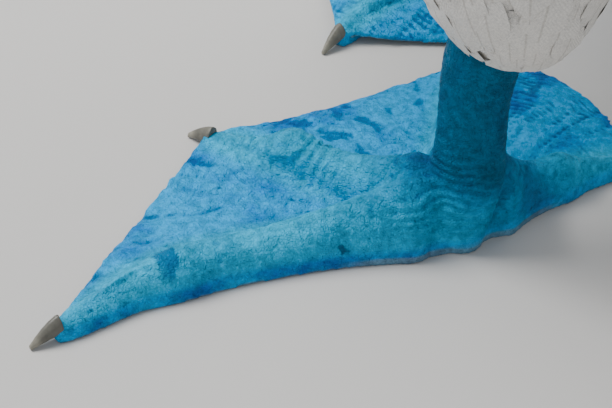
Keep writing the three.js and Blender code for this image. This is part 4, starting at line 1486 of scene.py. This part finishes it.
def web_sheet(web, rows=70, cols=60):
    """The web between two toes as a closed sheet: it hangs to the floor between them."""
    first, second = web["toes"]
    u = np.linspace(0, 1, cols)[None]
    belly = 4 * u * (1 - u)
    along = np.linspace(0, 1, rows)[:, None]
    t = mix(0.05, mix(WEB_REACH, 1.0, np.abs(2 * u - 1) ** 6) - web["sag"] * belly, along)
    a, b = spline(TOES[first]["line"], t), spline(TOES[second]["line"], t)
    plan = mix(a, b, u[..., None])
    plan = plan + unit(plan) * (web["bulge"] * belly * along ** 2)[..., None]
    low = 1.2 + web["crown"] * belly * (1 - t) * t * 4
    first_high = three_along(TOES[first]["back"], t) * web["hold"][0]
    second_high = three_along(TOES[second]["back"], t) * web["hold"][1]
    z = low + (first_high - low) * np.clip(1 - 2 * u, 0, 1) ** web["fall"][0]
    z = z + (second_high - low) * np.clip(2 * u - 1, 0, 1) ** web["fall"][1]
    rim = smooth(0.93, 1.0, along)
    z = mix(z, np.minimum(z, 3.0), smooth(0.75, 1.0, along))
    thick = 0.95 - 0.35 * rim
    top = np.concatenate([plan, (z + thick)[..., None]], -1)
    low_side = np.concatenate([plan, np.maximum(0.02, z - thick)[..., None]], -1)
    return shell(top, low_side)


def leg_column(rows=60, cols=48):
    heights = np.linspace(0, 1, rows)
    table = spline(LEG, heights)
    a = np.linspace(0, 2 * np.pi, cols, endpoint=False)[None]
    x = table[:, 1:2] + table[:, 2:3] * np.cos(a)
    y = table[:, 3:4] * np.sin(a)
    return closed_loft(np.stack([x, y, table[:, :1] + 0 * a], -1))


def toe_distance(x, y, number):
    """Distance from a toe's middle line and the share of the toe where it is nearest."""
    t = np.linspace(0, 1, 60)
    line = spline(TOES[number]["line"], t)
    gaps = np.hypot(x[:, None] - line[None, :, 0], y[:, None] - line[None, :, 1])
    nearest = gaps.argmin(axis=1)
    return gaps[np.arange(len(x)), nearest], t[nearest]


# Pitches of the foot's fine relief in millimetres, and of its web folds in degrees

SCUTE_PITCH = 1.9
KNUCKLE_AT = 38
KNUCKLE_PITCH = 1.6
RIPPLE_PITCH = 1.8
FOLD_PITCH = 3.4
CREASE_PITCH = 2.1
PLATE_PITCH = 3.1


def foot_relief(p, normals):
    """Creases, scutes and web folds, as a lift along the normal, and the values that colour it, painted shade
    on the leg and in the sunken creases among them.
    """
    x, y, z = p.T
    lift = np.zeros(len(p))
    ridge = np.zeros(len(p))
    joint = np.zeros(len(p))
    above = smooth(0.0, 0.6, normals[:, 2])
    warp = 0.9 * lattice(x * 0.16, y * 0.16, z * 0.16, 51)
    finer = lattice(x * 0.45, y * 0.45, z * 0.45, 58)
    # Painted shade on the leg, from 8 mm up, for the shade under the body
    shin = smooth(8, 23, z)
    for number in TOES:
        d, t = toe_distance(x, y, number)
        half = three_along(TOES[number]["half"], t)
        on = smooth(2.3, 0.35, d / half) * smooth(24, 15, z)
        out = t * toe_length(number)
        scutes = 1 - np.abs(np.sin(np.pi * (out / SCUTE_PITCH + 0.4 * warp + 0.12 * finer))) ** 0.5
        lift -= 0.20 * on * above * scutes * smooth(0.06, 0.2, t)
        ridge = np.maximum(ridge, on * smooth(1.5, 5, z))
        joint = np.maximum(joint, 0.7 * smooth(1.6, 0.4, d / half) * bump(t, 0.64, 0.05))
    knuckle = np.hypot((x - KNUCKLE_AT) * 0.8, y)
    rings = np.sin(2 * np.pi * (knuckle / KNUCKLE_PITCH + 0.45 * warp + 0.1 * finer))
    lift += 0.24 * rings * bump(knuckle, 5.5, 5.5) * above + 1.3 * bump(knuckle, 0, 5) * above
    joint = np.maximum(joint, 0.7 * bump(knuckle, 3, 5))
    d, t = toe_distance(x, y, 4)
    dimple = bump(t, 0.66, 0.025) * smooth(6, 1, d)
    lift -= 0.5 * dimple * above
    around = np.hypot(x, y)
    web = (1 - ridge) * above * smooth(8, 16, around) * smooth(14, 8, z)
    angle = np.degrees(np.arctan2(y, x))
    rays = lattice(angle * 0.42 + 1.3 * warp, around * 0.035, 0, 53)
    lift += web * (0.34 * rays * smooth(10, 30, around) + 0.18 * lattice(x * 0.35, y * 0.35, 0, 54))
    ripple = np.sin(2 * np.pi * (around / RIPPLE_PITCH + 1.6 * warp + 0.35 * rays + 0.15 * finer))
    lift += (web + 0.3 * above) * 0.11 * ripple * smooth(-0.3, 0.5, lattice(x * 0.07, y * 0.07, 3, 55))
    folds = np.sin(2 * np.pi * (angle / FOLD_PITCH + 1.8 * warp + 0.3 * finer))
    patches = smooth(-0.2, 0.5, lattice(x * 0.06, y * 0.06, 7, 59))
    lift += web * 0.13 * folds * patches * smooth(14, 24, around)
    ankle = smooth(19, 8, around) * smooth(32, 16, z)
    creases = np.sin(2 * np.pi * (z / CREASE_PITCH + 0.7 * warp + 0.07 * x + 0.1 * finer))
    lift += 0.24 * creases * ankle * smooth(4, 9, z)
    joint = np.maximum(joint, ankle * smooth(2, 7, z))
    plates = 1 - np.abs(np.sin(np.pi * (z / PLATE_PITCH + 0.25 * warp))) ** 0.5
    lift -= 0.15 * plates * smooth(15, 24, z) * smooth(-0.2, 0.6, normals[:, 0])
    lift += 0.08 * lattice(x * 0.9, y * 0.9, z * 0.9, 56) + 0.05 * lattice(x * 2.1, y * 2.1, z * 2.1, 57)
    # Painted shade also on the hind toe's root, next to the leg
    d, t = toe_distance(x, y, 1)
    shin = np.maximum(shin, 0.55 * smooth(9, 4, d) * smooth(0.9, 0.3, t) * smooth(1, 4, z))
    sole = smooth(0.15, -0.3, normals[:, 2]) * smooth(5, 2, z)
    sole = np.maximum(sole, smooth(3.0, 1.2, z) * smooth(34, 16, around))
    # Painted shade in the creases: strongest where the relief sinks, and at the outer toe's dimple
    crease = np.maximum(smooth(-0.05, -0.38, lift) * above, 0.4 * dimple)
    lift = lift * smooth(0.15, 0.9, z)
    return lift, {"ridge": ridge * (1 - shin), "joint": joint * (1 - shin), "shin": shin, "sole": sole,
                  "crease": np.clip(crease, 0, 1)}


def on_ankle(points, side):
    """Points of the left foot's own frame, put under the ankle of their side."""
    return points * (1, side, 1) + (*ANKLES[side], 0)


def build_feet(bird):
    paint = foot_material(tuple(bird.foot_blue))
    for side, name in SIDES:
        webs = [*WEBS[:2], {**WEBS[2], "bulge": HIND_BULGE[side]}]
        parts = [toe_tube(number) for number in TOES]
        parts += [web_sheet(web) for web in webs]
        parts += [leg_column(), sole_pad()]
        points, faces = remeshed(*joined(parts), bird.foot_grain, 5)
        points[:, 2] = np.maximum(points[:, 2], 0.0)
        normals = point_normals(points, faces)
        lift, values = foot_relief(points, normals)
        shaped = points + normals * lift[:, None]
        shaped[:, 2] = np.maximum(shaped[:, 2], 0.0)
        foot = add_mesh(f"{name}_foot_skin", on_ankle(shaped, side), faces, paint, values)
        finished(foot, "foot_skin", f"{name}_foot", f"{name}_tarsus")
    build_claws()


CLAW_ROOT = 1.6
CLAW_LENGTH = 6.6


def claw_shape(number, rows=40, cols=28):
    """A claw from inside the toe's tip down to the floor, and how near each point is to its point."""
    t = np.linspace(0, 1, rows)[:, None]
    a = np.linspace(0, 2 * np.pi, cols, endpoint=False)[None]
    line = spline(TOES[number]["line"], np.array([0.97, 1.0]))
    run = unit(line[1] - line[0])
    out = -CLAW_ROOT + CLAW_LENGTH * t
    r = mix(2.1, 0.55, t ** 1.4)
    middle = np.maximum(r, mix(3.2, 0.6, t ** 1.5))
    keel = 1 + 0.14 * bump(a, np.pi / 2, 0.4)
    across = r * 0.8 * np.cos(a) * (1 + 0.02 * np.sin(out * 4))
    x = line[1][0] + run[0] * out - run[1] * across
    y = line[1][1] + run[1] * out + run[0] * across
    z = middle + r * np.sin(a) * keel
    points, faces = closed_loft(np.stack([x, y, np.maximum(z, 0.15)], -1))
    return points, faces, np.append((smooth(0.35, 1, t) + 0 * a).ravel(), [0, 1])


def build_claws():
    pale = (0.30, 0.28, 0.22)
    paint = horn_material("claw_horn_grey", (0.20, 0.19, 0.15), (0.11, 0.105, 0.085), 0.45, pale)
    for side, name in SIDES:
        for number in TOES:
            points, faces, tip = claw_shape(number)
            points = on_ankle(points, side)
            claw = add_mesh(f"{name}_claw_{number}_horn", points, faces, paint, {"tip": tip})
            finished(claw, "claw_horn", f"{name}_claw_{number}")


# Stage: floor, lights and camera

FLOOR_REACH = 6.0
FLOOR_COLOUR = (0.62, 0.60, 0.57, 1)
SKY_COLOUR = (0.80, 0.88, 1.0, 1)
SKY_STRENGTH = 0.44
BIRD_MIDDLE = 0.2

# Lamps: place from the bird's middle in metres, watts and width

LAMPS = {
    "key": ((1.2, 0.25, 1.9), 72, 1.2),
    "fill": ((-0.9, 1.7, 0.9), 5, 1.6),
    "rim": ((-0.4, -1.5, 1.2), 10, 1.0),
}


def build_floor():
    mesh = bpy.data.meshes.new("floor")
    corners = [(x * FLOOR_REACH, y * FLOOR_REACH, 0) for x, y in ((-1, -1), (1, -1), (1, 1), (-1, 1))]
    mesh.from_pydata(corners, [], [(0, 1, 2, 3)])
    floor = add_object("floor", mesh)
    s = Shader("floor_pale", 0.8, 0.2)
    s.surface.inputs["Base Color"].default_value = FLOOR_COLOUR
    mesh.materials.append(s.material)


def build_lights(scene):
    studio = bpy.data.worlds.new("studio")
    studio.use_nodes = True
    back = studio.node_tree.nodes["Background"]
    back.inputs["Color"].default_value = SKY_COLOUR
    back.inputs["Strength"].default_value = SKY_STRENGTH
    scene.world = studio
    middle = Vector(SHIFT.tolist()) + Vector((0, 0, BIRD_MIDDLE))
    for name, (place, power, size) in LAMPS.items():
        lamp = bpy.data.lights.new(name, "AREA")
        lamp.energy = power
        lamp.size = size
        holder = add_object(name, lamp)
        holder.location = middle + Vector(place)
        holder.rotation_euler = (middle - holder.location).to_track_quat("-Z", "Y").to_euler()


def build_camera(scene):
    lens = bpy.data.cameras.new("photo_camera")
    lens.lens = CAMERA_LENS
    lens.clip_start = 0.01
    camera = add_object("photo_camera", lens)
    camera.location = world(np.array(CAMERA_AT) + (*ANKLES[1], 0)).tolist()
    camera.rotation_euler = (math.radians(90 - CAMERA_TILT), 0, math.radians(-CAMERA_HEADING))
    scene.camera = camera


def build_stage(bird):
    scene = bpy.context.scene
    build_floor()
    build_lights(scene)
    build_camera(scene)


# The add-on: settings, operators and panel

class BoobySettings(bpy.types.PropertyGroup):
    """How the bird is dressed."""

    seed: bpy.props.IntProperty(
        name="Seed", description="Start of every random draw", default=11)
    skin_grain: bpy.props.FloatProperty(
        name="Skin grain", description="Size of the skin's squares",
        default=0.00175, precision=5, unit="LENGTH")
    foot_grain: bpy.props.FloatProperty(
        name="Foot grain", description="Size of the squares of the feet",
        default=0.00043, precision=5, unit="LENGTH")
    coat_depth: bpy.props.FloatProperty(
        name="Coat depth", description="Share of the usual depth of the plumage",
        default=1.0, subtype="FACTOR")
    body_gap: bpy.props.FloatProperty(
        name="Body gap", description="Distance between body feathers",
        default=0.0056, precision=4, unit="LENGTH")
    neck_gap: bpy.props.FloatProperty(
        name="Neck gap", description="Distance between neck feathers",
        default=0.0035, precision=4, unit="LENGTH")
    head_gap: bpy.props.FloatProperty(
        name="Head gap", description="Distance between head feathers",
        default=0.0022, precision=4, unit="LENGTH")
    foot_blue: bpy.props.FloatVectorProperty(
        name="Foot blue", description="Colour of the webs",
        default=FOOT_BLUE, subtype="COLOR", min=0, max=1)
    white: bpy.props.FloatVectorProperty(
        name="White", description="Colour of the white plumage",
        default=WHITE, subtype="COLOR", min=0, max=1)
    brown: bpy.props.FloatVectorProperty(
        name="Brown", description="Colour of the brown plumage",
        default=BROWN, subtype="COLOR", min=0, max=1)
    iris: bpy.props.FloatVectorProperty(
        name="Iris", description="Colour of the eyes",
        default=IRIS_YELLOW, subtype="COLOR", min=0, max=1)


class BOOBY_OT_skin(bpy.types.Operator):
    """Build the skin of head, neck, body and thighs"""

    bl_idname = "booby.skin"
    bl_label = "Skin"

    def execute(self, context):
        build_skin(context.scene.booby)
        return {"FINISHED"}


class BOOBY_OT_coat(bpy.types.Operator):
    """Lay the small feathers of the body, neck, head and thighs"""

    bl_idname = "booby.coat"
    bl_label = "Coat"

    def execute(self, context):
        build_coat(context.scene.booby)
        return {"FINISHED"}


class BOOBY_OT_wings(bpy.types.Operator):
    """Build the folded wings, feather by feather"""

    bl_idname = "booby.wings"
    bl_label = "Wings"

    def execute(self, context):
        build_wings(context.scene.booby)
        return {"FINISHED"}


class BOOBY_OT_tail(bpy.types.Operator):
    """Build the tail's feathers"""

    bl_idname = "booby.tail"
    bl_label = "Tail"

    def execute(self, context):
        build_tail(context.scene.booby)
        return {"FINISHED"}


class BOOBY_OT_bill(bpy.types.Operator):
    """Build both halves of the bill"""

    bl_idname = "booby.bill"
    bl_label = "Bill"

    def execute(self, context):
        build_bill(context.scene.booby)
        return {"FINISHED"}


class BOOBY_OT_eyes(bpy.types.Operator):
    """Build the eyes and their lids"""

    bl_idname = "booby.eyes"
    bl_label = "Eyes"

    def execute(self, context):
        build_eyes(context.scene.booby)
        return {"FINISHED"}


class BOOBY_OT_feet(bpy.types.Operator):
    """Build the webbed feet, the legs and the claws"""

    bl_idname = "booby.feet"
    bl_label = "Feet"

    def execute(self, context):
        build_feet(context.scene.booby)
        return {"FINISHED"}


class BOOBY_OT_stage(bpy.types.Operator):
    """Set up the floor, the lights and the camera"""

    bl_idname = "booby.stage"
    bl_label = "Stage"

    def execute(self, context):
        build_stage(context.scene.booby)
        return {"FINISHED"}


STEPS = [
    BOOBY_OT_skin, BOOBY_OT_coat, BOOBY_OT_wings, BOOBY_OT_tail,
    BOOBY_OT_bill, BOOBY_OT_eyes, BOOBY_OT_feet, BOOBY_OT_stage,
]


class BOOBY_PT_panel(bpy.types.Panel):
    """The bird's settings and steps in the sidebar."""

    bl_idname = "BOOBY_PT_panel"
    bl_label = "Blue-footed booby"
    bl_space_type = "VIEW_3D"
    bl_region_type = "UI"
    bl_category = "Booby"

    def draw(self, context):
        for name in BoobySettings.__annotations__:
            self.layout.prop(context.scene.booby, name)
        for step in STEPS:
            self.layout.operator(step.bl_idname)


CLASSES = [BoobySettings, *STEPS, BOOBY_PT_panel]


def register():
    for made in CLASSES:
        bpy.utils.register_class(made)
    bpy.types.Scene.booby = bpy.props.PointerProperty(type=BoobySettings)


def unregister():
    del bpy.types.Scene.booby
    for made in reversed(CLASSES):
        bpy.utils.unregister_class(made)


def main():
    register()
    bpy.ops.booby.skin()
    bpy.ops.booby.coat()
    bpy.ops.booby.wings()
    bpy.ops.booby.tail()
    bpy.ops.booby.bill()
    bpy.ops.booby.eyes()
    bpy.ops.booby.feet()
    bpy.ops.booby.stage()


if __name__ == "__main__":
    main()
